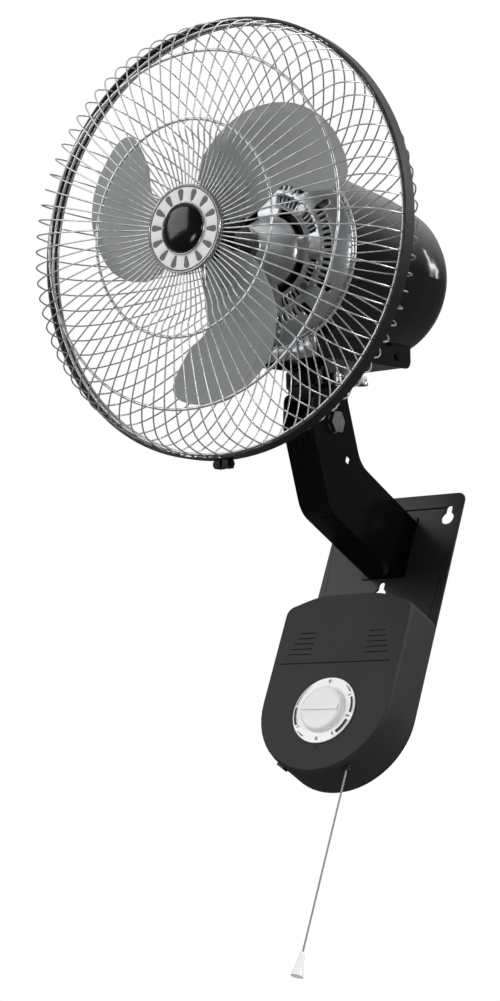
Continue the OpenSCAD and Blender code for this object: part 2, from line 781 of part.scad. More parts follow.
function cord_path() =
  let (last = len(cord_route) - 1)
  concat([for (i = [0 : last - 1])
    let (a = cord_route[max(i - 1, 0)], b = cord_route[i], c = cord_route[i + 1], d = cord_route[min(i + 2, last)])
    let (count = max(2, ceil(norm(c - b) / (cord_d * cord_ring_share))))
    for (k = [0 : count - 1]) bent(a, b, c, d, k / count)], [cord_route[last]]);
module pull_cord() {
  color("#8f9193") tube(cord_path(), cord_d / 2, cord_sides, [1, 0, 0]);
}
module pull_wire() {
  top = [dial_x + lever_r * cos(lever_rise), switch_back + slack + lever_t + 2 * over + pull_wire_r, dial_z + lever_r * sin(lever_rise)];
  run = pull_wire_low - top;
  color("#9ea2a6") {
    translate(top) rotate([0, acos(run[2] / norm(run)), atan2(run[1], run[0])]) cylinder(norm(run), r = pull_wire_r, $fn = 24);
    translate([top[0], top[1] - pull_wire_r, top[2]]) rotate([90, 0, 0]) cylinder(lever_t + 2 * over, r = pull_wire_r, $fn = 24);
    translate(top) sphere(pull_wire_r, $fn = 24);
  }
}
module cord_bell() {
  low = cord_route[len(cord_route) - 1];
  color("#f4f4f4") translate([low[0], low[1], low[2] - bell_len]) rotate_extrude($fn = 48)
    polygon(concat([for (i = [len(bell_shares) - 1 : -1 : 0]) [bell_shares[i][0], 1 - bell_shares[i][1]] * bell_len],
      [[0, bell_len]]));
}

// Neck, drawn in the head's frame
module neck_at_bolt() {
  translate([0, bolt_y, bolt_z]) rotate([0, 90, 0]) children();
}
module cheek_outline() {
  square_top = [[-neck_front, neck_top - neck_plate_t], [-neck_rear, neck_top - neck_plate_t],
    [-neck_rear, neck_top - neck_plate_t - neck_low_r]];
  low = [for (i = [0 : 20]) [-bolt_y, bolt_z] + neck_low_r * [cos(200 + 140 * i / 20), sin(200 + 140 * i / 20)]];
  polygon(concat(square_top, low, [[-neck_front, bolt_z + neck_low_r]]));
}
module neck_plate_outline() {
  translate([-cheek_out, neck_front]) square([2 * cheek_out, neck_rear - neck_front]);
  intersection() {
    translate([0, swing_back]) circle(collar_r, $fn = 96);
    translate([-collar_r, swing_back - collar_r]) square([2 * collar_r, collar_r]);
  }
  translate([post_side, swing_back]) circle(neck_ear_r, $fn = 48);
  translate([0, swing_back - neck_ear_r]) square([post_side, 2 * neck_ear_r]);
}
module neck_bracket() {
  color("#121212") in_head() {
    difference() {
      union() {
        for (x = [cheek_in, -cheek_out])
          translate([x, 0, 0]) rotate([90, 0, 90]) mirror([1, 0, 0]) linear_extrude(cheek_t) cheek_outline();
        translate([-cheek_out, neck_front, bolt_z + neck_low_r])
          cube([2 * cheek_out, cheek_t, neck_top - neck_plate_t - bolt_z - neck_low_r + over]);
      }
      neck_at_bolt() cylinder(arm_w, r = bolt_r + running, center = true, $fn = 48);
    }
    translate([0, 0, neck_top - neck_plate_t]) linear_extrude(neck_plate_t) difference() {
      neck_plate_outline();
      translate([0, swing_back]) circle(pivot_r + running, $fn = 64);
      translate([post_side, swing_back]) circle(post_r + running, $fn = 48);
    }
  }
}
module neck_spacer() {
  color("#9b9ea1") in_head() neck_at_bolt() translate([0, 0, running - cheek_in])
    hollow(spacer_r, bolt_r + running, 2 * cheek_in - 2 * running, 48);
}
module pivot_socket() {
  color("#a9acaf") in_head() translate([0, swing_back, 0]) {
    translate([0, 0, neck_top - neck_plate_t - socket_len])
      hollow(socket_r, pivot_r + running, socket_len, 64);
    translate([0, 0, neck_top]) difference() {
      hollow(collar_r, collar_r - collar_t, collar_h, 96);
      translate([-collar_r - over, -collar_back, -over])
        cube([2 * collar_r + 2 * over, 2 * collar_r, collar_h + 2 * over]);
    }
  }
}
module pivot_shaft() {
  pivot_low = neck_top - neck_plate_t - socket_len;
  color("#c9cccf") in_head() translate([0, swing_back, 0]) {
    translate([0, 0, pivot_low]) cylinder(pivot_top - pivot_low, r = pivot_r, $fn = 64);
    translate([0, 0, pivot_top + slack]) cylinder(pivot_cap_t, r = pivot_cap_r, $fn = 64);
    translate([0, 0, pivot_top - over]) cylinder(over + slack + pivot_cap_t / 2, r = pivot_r, $fn = 64);
  }
}
module thrust_washer() {
  color("#d5b26a") in_head() translate([0, swing_back, neck_top])
    hollow(pivot_boss_r, pivot_r + running, thrust_t, 64);
}
module link_post() {
  color("#b9bcc0") in_head() translate([post_side, swing_back, 0]) {
    translate([0, 0, neck_top - neck_plate_t - over]) cylinder(link_top + post_over - neck_top + neck_plate_t + over, r = post_r, $fn = 48);
    translate([0, 0, neck_top]) cylinder(link_low - slack - neck_top, r = post_shoulder_r, $fn = 48);
  }
}

// Swing drive
module swing_link() {
  post = [post_side, swing_back];
  pin = [crank_x_pin, crank_y_pin];
  along = unit(pin - post);
  across = [-along[1], along[0]] * link_w / 2;
  color("#c6c9cc") in_head() translate([0, 0, link_low]) difference() {
    linear_extrude(link_t) union() {
      translate(post) circle(link_eye_r, $fn = 48);
      translate(pin) circle(link_eye_r, $fn = 48);
      polygon([post + across, post - across, pin - across, pin + across]);
    }
    translate([post[0], post[1], -over]) cylinder(link_t + 2 * over, r = post_r + running, $fn = 48);
    translate([pin[0], pin[1], -over]) cylinder(link_t + 2 * over, r = crank_pin_r + link_open_gap, $fn = 48);
  }
}
module swing_motor() {
  motor_low = base_top + slack;
  color("#c2c4c6") in_head() translate([0, crank_y, 0]) difference() {
    union() {
      translate([0, 0, motor_low]) cylinder(swing_motor_h, r = swing_motor_r, $fn = 96);
      for (side = [-1, 1]) translate([side * swing_motor_r, 0, motor_low]) cylinder(slack * 4, r = swing_motor_r / 5, $fn = 32);
    }
    translate([0, 0, motor_low - over]) cylinder(swing_motor_bore_len + over, r = crank_spindle_r + running, $fn = 48);
  }
}
module crank_disc() {
  spindle_len = base_top + slack + swing_motor_bore_len - over - crank_top;
  color("#dcdcda") in_head() {
    translate([0, crank_y, crank_low]) cylinder(crank_t, r = crank_r, $fn = 96);
    translate([0, crank_y, crank_top - over]) cylinder(spindle_len + over, r = crank_spindle_r, $fn = 48);
    translate([crank_x_pin, crank_y_pin, crank_low - crank_pin_len]) cylinder(crank_pin_len + over, r = crank_pin_r, $fn = 48);
  }
}
module head_base() {
  base_half = skirt_half - cover_t - base_gap;
  base_rear = skirt_front + skirt_len - skirt_corner_r - base_gap;
  color("#151515") in_head() difference() {
    union() {
      translate([-base_half, pedestal_front - over, base_low])
        cube([2 * base_half, base_rear - pedestal_front + over, base_t]);
      translate([0, swing_back, neck_top + thrust_t + slack / 2])
        cylinder(base_low - neck_top - thrust_t - slack / 2 + over, r = pivot_boss_r, $fn = 64);
      translate([0, swing_back, base_top - over]) cylinder(pivot_top - base_top + over, r = pivot_boss_r + 2, $fn = 64);
      translate([-pedestal_w, pedestal_front, base_low])
        cube([2 * pedestal_w, pedestal_back - pedestal_front, -rear_wall_r - base_low + 5]);
      for (x = [-base_half, base_half - cover_lug_w])
        translate([x, cover_screw_y - cover_lug_w / 2, base_low]) cube([cover_lug_w, cover_lug_w, cover_screw_z - base_low + cover_lug_w / 2]);
    }
    translate([0, swing_back, neck_top]) cylinder(pivot_top - neck_top + over, r = pivot_r + running, $fn = 64);
    rotate([-90, 0, 0]) cylinder(swing_back, r = rear_wall_r + slack, $fn = 128);
    translate([0, crank_y, base_low - over]) cylinder(base_t + 2 * over, r = crank_spindle_r + slack, $fn = 48);
    translate([0, cover_screw_y, cover_screw_z]) rotate([0, 90, 0])
      cylinder(2 * skirt_half, r = cover_screw_r + running, center = true, $fn = 24);
  }
}

// Motor, drawn along the fan's axis
// The inside of an outline, a wall's thickness behind it
function behind(line, i, t) =
  let (d = unit(line[i + 1] - line[i - 1]))
  line[i] + t * [d[1], -d[0]];
module shield_slot(from, to, width, z) {
  translate([from, -width / 2, z - 2 * shield_t]) cube([to - from, width, 4 * shield_t]);
}
module front_shield() {
  outer = shield_line;
  last = len(outer) - 1;
  inner = concat([[outer[last][0] - shield_t, shield_back]], [for (i = [last - 1 : -1 : 1]) behind(outer, i, shield_t)]);
  neck_z = inner[len(inner) - 1][1];
  color("#b4b6b8") on_axis() difference() {
    union() {
      rotate_extrude($fn = 160) polygon(concat(outer, inner, [[bush_r + slack, neck_z], [bush_r + slack, bush_front]]));
      translate([0, 0, bush_front - bush_len - over]) cylinder(bush_len + over, r = nose_r, $fn = 64);
      for (i = [0 : motor_bolt_count - 1]) rotate(360 * i / motor_bolt_count + 45)
        translate([motor_bolt_pcr, 0, stator_front + slack / 2])
          cylinder(shield_face - over - stator_front, r = motor_post_r, $fn = 32);
      difference() {
        translate([-skirt_half, -skirt_drop, shield_back]) cube([2 * skirt_half, foot_top + skirt_drop, foot_front - shield_back]);
        translate([0, 0, shield_back - over]) cylinder(foot_front - shield_back + 2 * over, r = shield_r - shield_t / 2, $fn = 128);
      }
      intersection() {
        translate([-skirt_half / 2, -shield_r, shield_back]) cube([skirt_half, shield_r + foot_top, foot_front - shield_back]);
        translate([0, 0, shield_back]) cylinder(foot_front - shield_back, r = shield_r, $fn = 128);
      }
      translate([0, foot_screw_y, shield_back]) cylinder(foot_boss_h, r = foot_boss_r, $fn = 48);
    }
    translate([0, 0, bush_front - bush_len - 2 * over]) cylinder(bush_len + 4 * over, r = bush_r + running, $fn = 64);
    for (i = [0 : motor_bolt_count - 1]) rotate(360 * i / motor_bolt_count) {
      rotate(arc_slot_turn) translate([0, 0, shield_face - 2 * shield_t]) rotate_extrude(angle = arc_slot_span, $fn = 96)
        translate([arc_slot_in, 0]) square([arc_slot_out - arc_slot_in, 4 * shield_t]);
      for (side = [-1, 1]) {
        for (k = [0 : vent_side_count - 1]) rotate(45 + side * (vent_first + k * vent_step))
          shield_slot(vent_in, vent_out, vent_w, shield_face);
        for (k = [0 : rim_vent_side_count - 1]) rotate(side * (k + 0.5) * rim_vent_step)
          shield_slot(rim_vent_in, rim_vent_out, rim_vent_w, shield_shoulder);
        rotate(45 + side * lug_turn) {
          shield_slot(lug_in, lug_out, 2 * lug_notch_r, shield_shoulder);
          for (r = [lug_in, lug_out])
            translate([r, 0, shield_shoulder - 2 * shield_t]) cylinder(4 * shield_t, r = lug_notch_r, $fn = 32);
        }
      }
      rotate(45) translate([motor_bolt_pcr, 0, 0]) {
        translate([0, 0, stator_front]) cylinder(-stator_front, r = motor_bolt_r + running, $fn = 24);
        translate([0, 0, shield_face - motor_bolt_head_t]) cylinder(shield_t, r = motor_bolt_head_r + slack, $fn = 32);
      }
    }
    translate([0, foot_screw_y, foot_boss_z]) cylinder(4 * shield_t, r = foot_boss_r + over / 2, $fn = 48);
    translate([0, foot_screw_y, shield_back - over]) cylinder(foot_boss_h + 2 * over, r = foot_screw_r + running, $fn = 24);
    translate([0, 0, -seat_depth - ring_r - slack]) rotate_extrude($fn = 160)
      translate([seat_ring_r - ring_r - slack, 0]) square([2 * ring_r + 2 * slack, seat_depth + foot_front + ring_r + over]);
  }
}
module rear_shield() {
  flange_z = shield_back - slack;
  color("#a6a8aa") on_axis() difference() {
    union() {
      translate([0, 0, flange_z - rear_flange_t]) hollow(rear_flange_r, rear_wall_r - shield_t, rear_flange_t, 160);
      translate([0, 0, rear_plate_z]) hollow(rear_wall_r, rear_wall_r - shield_t, flange_z - rear_flange_t - rear_plate_z + over, 160);
      translate([0, 0, rear_plate_z]) cylinder(shield_t, r = rear_wall_r, $fn = 160);
      translate([0, 0, rear_plate_z - rear_boss_len]) cylinder(rear_boss_len + over, r = rear_boss_r, $fn = 64);
      for (i = [0 : motor_bolt_count - 1]) rotate(360 * i / motor_bolt_count + 45) translate([motor_bolt_pcr, 0, rear_plate_z])
        cylinder(stator_front - stator_len - slack / 2 - rear_plate_z, r = motor_post_r, $fn = 32);
    }
    translate([0, 0, rear_plate_z - rear_boss_len - over]) cylinder(rear_boss_len + shield_t + 2 * over, r = bush_r + running, $fn = 64);
    for (i = [0 : motor_bolt_count - 1]) rotate(360 * i / motor_bolt_count + 45) translate([motor_bolt_pcr, 0, rear_plate_z - over])
      cylinder(-rear_plate_z, r = motor_bolt_r + running, $fn = 24);
    for (i = [0 : 2 * motor_bolt_count - 1]) rotate(180 * i / motor_bolt_count + 22.5)
      translate([rear_vent_in, -vent_w, rear_plate_z - over]) cube([rear_vent_out - rear_vent_in, 2 * vent_w, shield_t + 2 * over]);
    translate([0, foot_screw_y, rear_plate_z]) cylinder(-rear_plate_z, r = foot_screw_r + running, $fn = 24);
  }
}
module stator_core() {
  color("#8a8d90") on_axis() translate([0, 0, stator_front - stator_len]) difference() {
    hollow(stator_r, stator_bore, stator_len, 128);
    for (i = [0 : motor_bolt_count - 1]) rotate(360 * i / motor_bolt_count + 45)
      translate([motor_bolt_pcr, 0, -over]) cylinder(stator_len + 2 * over, r = motor_bolt_r + running, $fn = 24);
  }
}
module stator_windings() {
  color("#b5652b") on_axis() for (z = [stator_front + running, stator_front - stator_len - running - winding_t])
    translate([0, 0, z]) difference() {
      rotate_extrude($fn = 96) polygon([[winding_in, 0], [winding_out, 0], [winding_out, winding_t * 0.6],
        [winding_out - winding_t * 0.4, winding_t], [winding_in + winding_t * 0.4, winding_t], [winding_in, winding_t * 0.6]]);
      for (i = [0 : motor_bolt_count - 1]) rotate(360 * i / motor_bolt_count + 45)
        translate([motor_bolt_pcr, 0, -over]) cylinder(winding_t + 2 * over, r = motor_post_r + slack, $fn = 32);
    }
}
module motor_bolts() {
  color("#b9bcc0") on_axis() for (i = [0 : motor_bolt_count - 1]) rotate(360 * i / motor_bolt_count + 45)
    translate([motor_bolt_pcr, 0, 0]) {
      translate([0, 0, shield_face - motor_bolt_head_t + running]) cylinder(motor_bolt_head_t - 2 * running, r = motor_bolt_head_r, $fn = 32);
      translate([0, 0, rear_plate_z - over])
        cylinder(shield_face - motor_bolt_head_t - rear_plate_z + over + running, r = motor_bolt_r, $fn = 24);
    }
}
module front_bushing() {
  color("#b08d4f") on_axis() translate([0, 0, bush_front - bush_len]) hollow(bush_r, shaft_r + running, bush_len, 64);
}
module rear_bushing() {
  color("#b08d4f") on_axis() translate([0, 0, rear_plate_z - rear_boss_len])
    hollow(bush_r, shaft_r + running, rear_boss_len + shield_t, 64);
}
module foot_screw() {
  color("#d3d5d7") on_axis() translate([0, foot_screw_y, 0]) {
    translate([0, 0, foot_boss_z - foot_screw_len]) cylinder(foot_screw_len + over, r = foot_screw_r, $fn = 24);
    translate([0, 0, foot_boss_z + running]) rotate_extrude($fn = 48)
      polygon(concat([[0, 0]], [for (s = foot_screw_dome_shares) [s[0] * foot_screw_head_r, s[1] * foot_screw_head_t]]));
  }
}
module cover_solid(inset, front) {
  outer = [for (s = cover_shares) [s[1] * (cover_r - inset), s[0] * (cover_len - inset)]];
  rotate([180, 0, 0]) translate([0, 0, -cover_front - front]) rotate_extrude($fn = 160)
    polygon(concat([[0, 0]], outer));
}
module skirt_solid(inset, front, low) {
  r = skirt_corner_r - inset;
  rear = skirt_front + skirt_len - inset;
  translate([-skirt_half + inset, 0, 0]) rotate([0, 90, 0]) linear_extrude(2 * (skirt_half - inset))
    polygon(rounded([[skirt_front - front, low], [rear, low + skirt_rise], [rear, skirt_high], [skirt_front - front, skirt_high]], [0, r, 0, 0], 10));
}
module rear_cover() {
  color("#0a0a0a") on_axis() {
    difference() {
      union() {
        cover_solid(0, 0);
        skirt_solid(0, 0, -skirt_drop);
      }
      cover_solid(cover_t, over);
      skirt_solid(cover_t, over, -skirt_drop - over);
      for (side = [-1, 1]) translate([side * skirt_half, cover_screw_z, -cover_screw_y]) rotate([0, 90, 0])
        cylinder(cover_lug_w, r = cover_screw_r + running, center = true, $fn = 24);
    }
  }
}
module cover_screws() {
  color("#8d8f92") in_head() for (side = [-1, 1]) translate([side * (skirt_half + running), cover_screw_y, cover_screw_z])
    rotate([0, side * 90, 0]) {
      translate([0, 0, -cover_screw_len]) cylinder(cover_screw_len + over, r = cover_screw_r, $fn = 24);
      cylinder(cover_screw_head_t, r = cover_screw_head_r, $fn = 32);
    }
}

// Guards
// A wire is drawn in lengths that meet face to face
module wires(path, splits) {
  line = [for (p = path) [p[0], 0, p[1]]];
  ends = concat([0], splits, [len(line) - 1]);
  for (i = [0 : wire_count - 1]) rotate(360 * i / wire_count + 90)
    for (k = [0 : len(ends) - 2]) tube_length(line, ends[k], ends[k + 1], wire_r, wire_sides, [0, 1, 0], k > 0 ? split_gap : 0);
}
module rear_guard_wires() {
  color("#c8cacc") on_axis() wires(rear_path, rear_splits);
}
module rear_guard_rings() {
  color("#c8cacc") on_axis() {
    torus(seat_ring_r, ring_r, -seat_depth);
    torus(rim_ring_r, ring_r, -rim_ring_z);
  }
}
module guard_clips() {
  clip_out = seat_ring_r - ring_r - weld_gap;
  color("#9b9ea1") on_axis() for (i = [0 : clip_count - 1]) rotate(360 * (i + 0.5) / clip_count) {
    translate([shield_r + weld_gap, -clip_w / 2, shield_back]) cube([clip_out - shield_r - 2 * weld_gap, clip_w, clip_len]);
  }
}
module front_guard_wires() {
  color("#d6d8da") on_axis() wires(front_path, front_splits);
}
module front_guard_rings() {
  color("#d6d8da") on_axis() {
    torus(front_ring_r, ring_r, crown - under_wire - weld_gap);
    torus(front_ring2_r, ring_r, crown * front_ring2_share - under_wire - ring_r / 3);
    torus(rim_ring_r, ring_r, rim_ring_z);
  }
}
module band_gap_cut() {
  translate([-band_split / 2, -guard_r - over, -band_w]) cube([band_split, 6 * band_t, 2 * band_w]);
}
module guard_band() {
  inside = guard_r - band_t;
  color("#2b2b2b") on_axis() difference() {
    rotate_extrude($fn = 180) polygon([[guard_r, -band_w / 2], [guard_r, band_w / 2], [inside - band_lip, band_w / 2],
      [inside - band_lip, band_w / 2 - band_lip_t], [inside, band_w / 2 - band_lip_t],
      [inside, band_lip_t - band_w / 2], [inside - band_lip, band_lip_t - band_w / 2], [inside - band_lip, -band_w / 2]]);
    band_gap_cut();
  }
}
module band_clamp() {
  color("#1c1c1c") on_axis() for (side = [-1, 1]) difference() {
    translate([side * (band_split + ear_w) / 2 - ear_w / 2, -guard_r - ear_h - weld_gap, -ear_depth / 2])
      cube([ear_w, ear_h, ear_depth]);
    translate([0, -guard_r - ear_h / 2, 0]) rotate([0, 90, 0]) cylinder(4 * ear_w, r = band_screw_r + running, center = true, $fn = 24);
  }
}
module band_screw() {
  grip = band_split + 2 * ear_w;
  color("#b9bcc0") on_axis() translate([-grip / 2 - band_screw_head_t, -guard_r - ear_h / 2, 0]) rotate([0, 90, 0]) {
    cylinder(grip + 2 * band_screw_head_t, r = band_screw_r, $fn = 24);
    cylinder(band_screw_head_t - weld_gap, r = band_screw_head_r, $fn = 32);
    translate([0, 0, grip + band_screw_head_t + weld_gap]) cylinder(band_screw_head_t - weld_gap, r = band_screw_head_r, $fn = 6);
  }
}

// Badge
module badge_plate() {
  color("#e6e6e4") on_axis() translate([0, 0, badge_back_z]) difference() {
    hollow(badge_r, badge_cap_r - badge_cap_lip, badge_t, 128);
    for (i = [0 : badge_slots - 1]) rotate(360 * i / badge_slots + badge_slot_turn) translate([0, 0, -over])
      linear_extrude(badge_t + 2 * over) {
        translate([badge_slot_in, 0]) circle(badge_slot_tip_r, $fn = 24);
        translate([badge_slot_out - badge_slot_r, 0]) circle(badge_slot_r, $fn = 24);
        polygon([[badge_slot_in, badge_slot_tip_r], [badge_slot_in, -badge_slot_tip_r],
          [badge_slot_out - badge_slot_r, -badge_slot_r], [badge_slot_out - badge_slot_r, badge_slot_r]]);
      }
  }
}
module badge_rim() {
  color("#d9dadb") on_axis() {
    translate([0, 0, badge_back_z + slack]) hollow(badge_r + badge_rim_t, badge_r + running, badge_t, 128);
    translate([0, 0, badge_forward + running]) hollow(badge_cap_r + badge_rim_t, badge_cap_r + running, badge_rim_t, 128);
  }
}
module badge_cap() {
  dome = [for (i = [0 : 8]) [badge_cap_r * cos(90 * i / 8), badge_cap_h * sin(90 * i / 8)]];
  bore = badge_cap_r - badge_cap_lip - slack;
  color("#080808") on_axis() translate([0, 0, badge_forward + running])
    rotate_extrude($fn = 128) polygon(concat([[0, -badge_t], [bore, -badge_t], [bore, 0]], dome));
}
module badge_backing() {
  color("#b9bcc0") on_axis() translate([0, 0, backing_z]) hollow(badge_r, backing_in, backing_t, 96);
}

// Rotor and blades
module motor_shaft() {
  color("#d3d5d7") on_axis() translate([0, 0, shaft_back]) cylinder(shaft_front - shaft_back, r = shaft_r, $fn = 48);
}
module rotor_core() {
  color("#8a8d90") on_axis() translate([0, 0, stator_front - stator_len]) hollow(rotor_r, shaft_r + running, stator_len, 128);
}
function blade_z(r, turn, column) =
  let (share = r / blade_r)
  let (flap = share > blade_flap_from && share < blade_flap_to ? blade_flap * max(0, 1 - column / blade_flap_share) : 0)
  blade_mid + blade_slope * (blade_mid_turn - turn) + blade_camber * pow((turn - blade_mid_turn) / blade_camber_turn, 2) - flap;
function blade_point(r, turn, z) = [r * sin(turn), r * cos(turn), z];
function sheet_points(rows, t) = [for (level = [0, 1]) for (row = rows) for (p = row) [p[0], p[1], p[2] + (level - 0.5) * t]];
function sheet_faces(n, m) =
  let (top = n * m)
  let (edge = concat([for (j = [0 : m - 1]) j], [for (i = [1 : n - 1]) i * m + m - 1],
    [for (j = [m - 2 : -1 : 0]) (n - 1) * m + j], [for (i = [n - 2 : -1 : 1]) i * m]))
  concat([for (i = [0 : n - 2]) for (j = [0 : m - 2]) let (a = i * m + j)
    each [[a, a + m + 1, a + 1], [a, a + m, a + m + 1], [top + a, top + a + 1, top + a + m + 1], [top + a, top + a + m + 1, top + a + m]]],
    [for (k = [0 : len(edge) - 1]) let (a = edge[k], b = edge[(k + 1) % len(edge)]) each [[a, b, top + b], [a, top + b, top + a]]]);
module sheet(rows, t) {
  polyhedron(sheet_points(rows, t), sheet_faces(len(rows), len(rows[0])), convexity = 6);
}
module rivet_holes(grow) {
  for (p = rivet_places) rotate(-blade_mid_turn - p[1]) translate([0, p[0] * blade_r, -blade_mid]) cylinder(8 * blade_mid, r = rivet_r + grow, $fn = 24);
}
module blades() {
  color("#858789") on_axis() for (b = [0 : blade_count - 1]) rotate(blade_turn - 360 * b / blade_count) difference() {
    sheet([for (row = blade_rows) [for (c = blade_cols)
      let (r = row[0] * blade_r, turn = row[1] + (row[2] - row[1]) * c) blade_point(r, turn, blade_z(r, turn, c))]], blade_t);
    rivet_holes(running);
  }
}
module blade_hub() {
  color("#101010") on_axis() translate([0, 0, hub_front - hub_len])
    hollow(hub_r, shaft_r + running, hub_len, 96);
}
module hub_spider() {
  under = blade_t / 2 + 3 * weld_gap + spider_t / 2;
  color("#101010") on_axis() for (b = [0 : blade_count - 1]) rotate(blade_turn - 360 * b / blade_count) difference() {
      sheet([for (i = [0 : len(spider_rows) - 1]) [for (c = spider_cols)
        let (r = spider_rows[i], turn = blade_mid_turn + c * spider_half[i])
        let (share = min(max((r - spider_start) / (spider_join - spider_start), 0), 1))
        blade_point(r, turn, share * (blade_z(blade_r * root_share, turn, 1) - under) + (1 - share) * (hub_front - shield_t / 2))]], spider_t);
      rivet_holes(running);
    }
}
module blade_rivets() {
  color("#c9cccf") on_axis() for (b = [0 : blade_count - 1]) rotate(blade_turn - 360 * b / blade_count)
    for (p = rivet_places) rotate(-blade_mid_turn - p[1]) {
      z = blade_z(blade_r * root_share, blade_mid_turn + p[1], 1);
      shank = blade_t + spider_t + 6 * rivet_head_t;
      translate([0, p[0] * blade_r, z - blade_t - spider_t - 3 * rivet_head_t]) cylinder(shank, r = rivet_r, $fn = 24);
      translate([0, p[0] * blade_r, z + blade_t / 2 + rivet_head_t + slack]) cylinder(rivet_head_t, r = rivet_head_r, $fn = 32);
    }
}
module hub_nut() {
  color("#c9cccf") on_axis() translate([0, 0, hub_front + weld_gap]) difference() {
    cylinder(hub_nut_len, r = hub_nut_r, $fn = 6);
    translate([0, 0, -over]) cylinder(shaft_front - hub_front + shaft_gap + over, r = shaft_r + running, $fn = 48);
  }
}

wall_plate();
arm_bracket();
arm_foot();
tilt_bolt();
tilt_nut();
tilt_washers();
box_cover();
box_screws();
switch_body();
ratchet_lever();
terminal_block();
run_capacitor();
cord_grommet();
mains_gland();
number_dial();
dial_knob();
pull_wire();
pull_cord();
cord_bell();
neck_bracket();
neck_spacer();
pivot_socket();
pivot_shaft();
thrust_washer();
link_post();
swing_link();
swing_motor();
crank_disc();
head_base();
front_shield();
rear_shield();
stator_core();
stator_windings();
motor_bolts();
front_bushing();
rear_bushing();
foot_screw();
rear_cover();
cover_screws();
rear_guard_wires();
rear_guard_rings();
guard_clips();
front_guard_wires();
front_guard_rings();
guard_band();
band_clamp();
band_screw();
badge_plate();
badge_rim();
badge_cap();
badge_backing();
motor_shaft();
rotor_core();
blade_hub();
hub_spider();
blades();
blade_rivets();
hub_nut();
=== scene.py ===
# Wall mounted fan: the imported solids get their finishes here, and the wires, blades,
# dial figures and cord are made finer. Units are metres, z is up, the wall is at y = 0.
import json
import math
import bpy
import numpy as np
from mathutils import Matrix, Vector


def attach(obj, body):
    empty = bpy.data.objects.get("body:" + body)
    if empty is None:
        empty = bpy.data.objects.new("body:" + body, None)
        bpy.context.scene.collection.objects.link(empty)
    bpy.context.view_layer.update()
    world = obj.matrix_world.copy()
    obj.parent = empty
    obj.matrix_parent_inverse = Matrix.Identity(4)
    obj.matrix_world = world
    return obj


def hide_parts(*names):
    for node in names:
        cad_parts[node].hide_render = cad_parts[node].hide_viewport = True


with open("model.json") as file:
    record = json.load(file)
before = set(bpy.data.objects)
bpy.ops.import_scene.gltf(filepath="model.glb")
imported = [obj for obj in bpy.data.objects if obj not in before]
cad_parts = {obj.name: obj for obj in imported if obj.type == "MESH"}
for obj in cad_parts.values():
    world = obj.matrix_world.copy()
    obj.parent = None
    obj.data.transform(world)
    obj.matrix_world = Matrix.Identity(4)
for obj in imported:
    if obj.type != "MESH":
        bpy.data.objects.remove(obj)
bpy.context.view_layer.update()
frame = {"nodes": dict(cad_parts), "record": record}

mm = 0.001


# the head's own frame: a to the right, b up the head, f forward along the fan's axis, all in mm
headPlace = {"boltReach": 182.5, "boltHeight": 17.5, "tilt": 26.0, "forward": 172.0, "up": 171.0}


def headToRow(points):
    # the head's point is moved out to the neck, turned down by the tilt, and moved to the bolt
    points = np.asarray(points, dtype=float)
    tilt = math.radians(headPlace["tilt"])
    back = -points[..., 2] - headPlace["forward"]
    high = points[..., 1] + headPlace["up"]
    y = -headPlace["boltReach"] + math.cos(tilt) * back - math.sin(tilt) * high
    z = headPlace["boltHeight"] + math.sin(tilt) * back + math.cos(tilt) * high
    return np.stack([points[..., 0], y, z], axis=-1) * mm


def smoothLine(points, count, stepsBetween=24):
    # a cubic through the points, each piece of it shaped by four of them, then evenly spaced along its length
    points = np.asarray(points, dtype=float)
    padded = np.vstack([2 * points[0] - points[1], points, 2 * points[-1] - points[-2]])
    t = np.linspace(0, 1, stepsBetween, endpoint=False)[:, None]
    parts = []
    for i in range(len(points) - 1):
        a, b, c, d = padded[i:i + 4]
        square = 2 * a - 5 * b + 4 * c - d
        cube = 3 * b - a - 3 * c + d
        parts.append(0.5 * (2 * b + (c - a) * t + square * t ** 2 + cube * t ** 3))
    fine = np.vstack(parts + [points[-1:]])
    along = np.concatenate([[0], np.cumsum(np.linalg.norm(np.diff(fine, axis=0), axis=1))])
    steps = np.linspace(0, along[-1], count)
    return np.stack([np.interp(steps, along, fine[:, k]) for k in range(fine.shape[1])], axis=-1)


def meshFrom(name, points, faces, smooth=True):
    mesh = bpy.data.meshes.new(name)
    corners = points.reshape(-1, 3).tolist()
    mesh.from_pydata(corners, [], [tuple(int(i) for i in f) for f in faces])
    mesh.update()
    if smooth:
        mesh.shade_smooth()
    piece = bpy.data.objects.new(name, mesh)
    bpy.context.scene.collection.objects.link(piece)
    return piece


def gridFaces(rows, columns, closed):
    # quads between neighbouring rows and columns of one grid, columns joined round when closed
    i, j = np.meshgrid(np.arange(rows - 1), np.arange(columns if closed else columns - 1), indexing="ij")
    k = (j + 1) % columns
    below, above = i * columns, (i + 1) * columns
    return np.stack([below + j, below + k, above + k, above + j], axis=-1).reshape(-1, 4)


# the photograph's camera, angles in degrees and the rest in metres and pixels
cameraFacts = {"azimuth": 40.36, "elevation": -26.63, "roll": -15.6, "distance": 2.45,
               "right": -0.17248, "up": -0.00358, "focal": 2173.88, "tall": 1001, "sensor": 36.0,
               "zero": (0.0, -0.0025, 0.032), "reach": 50}


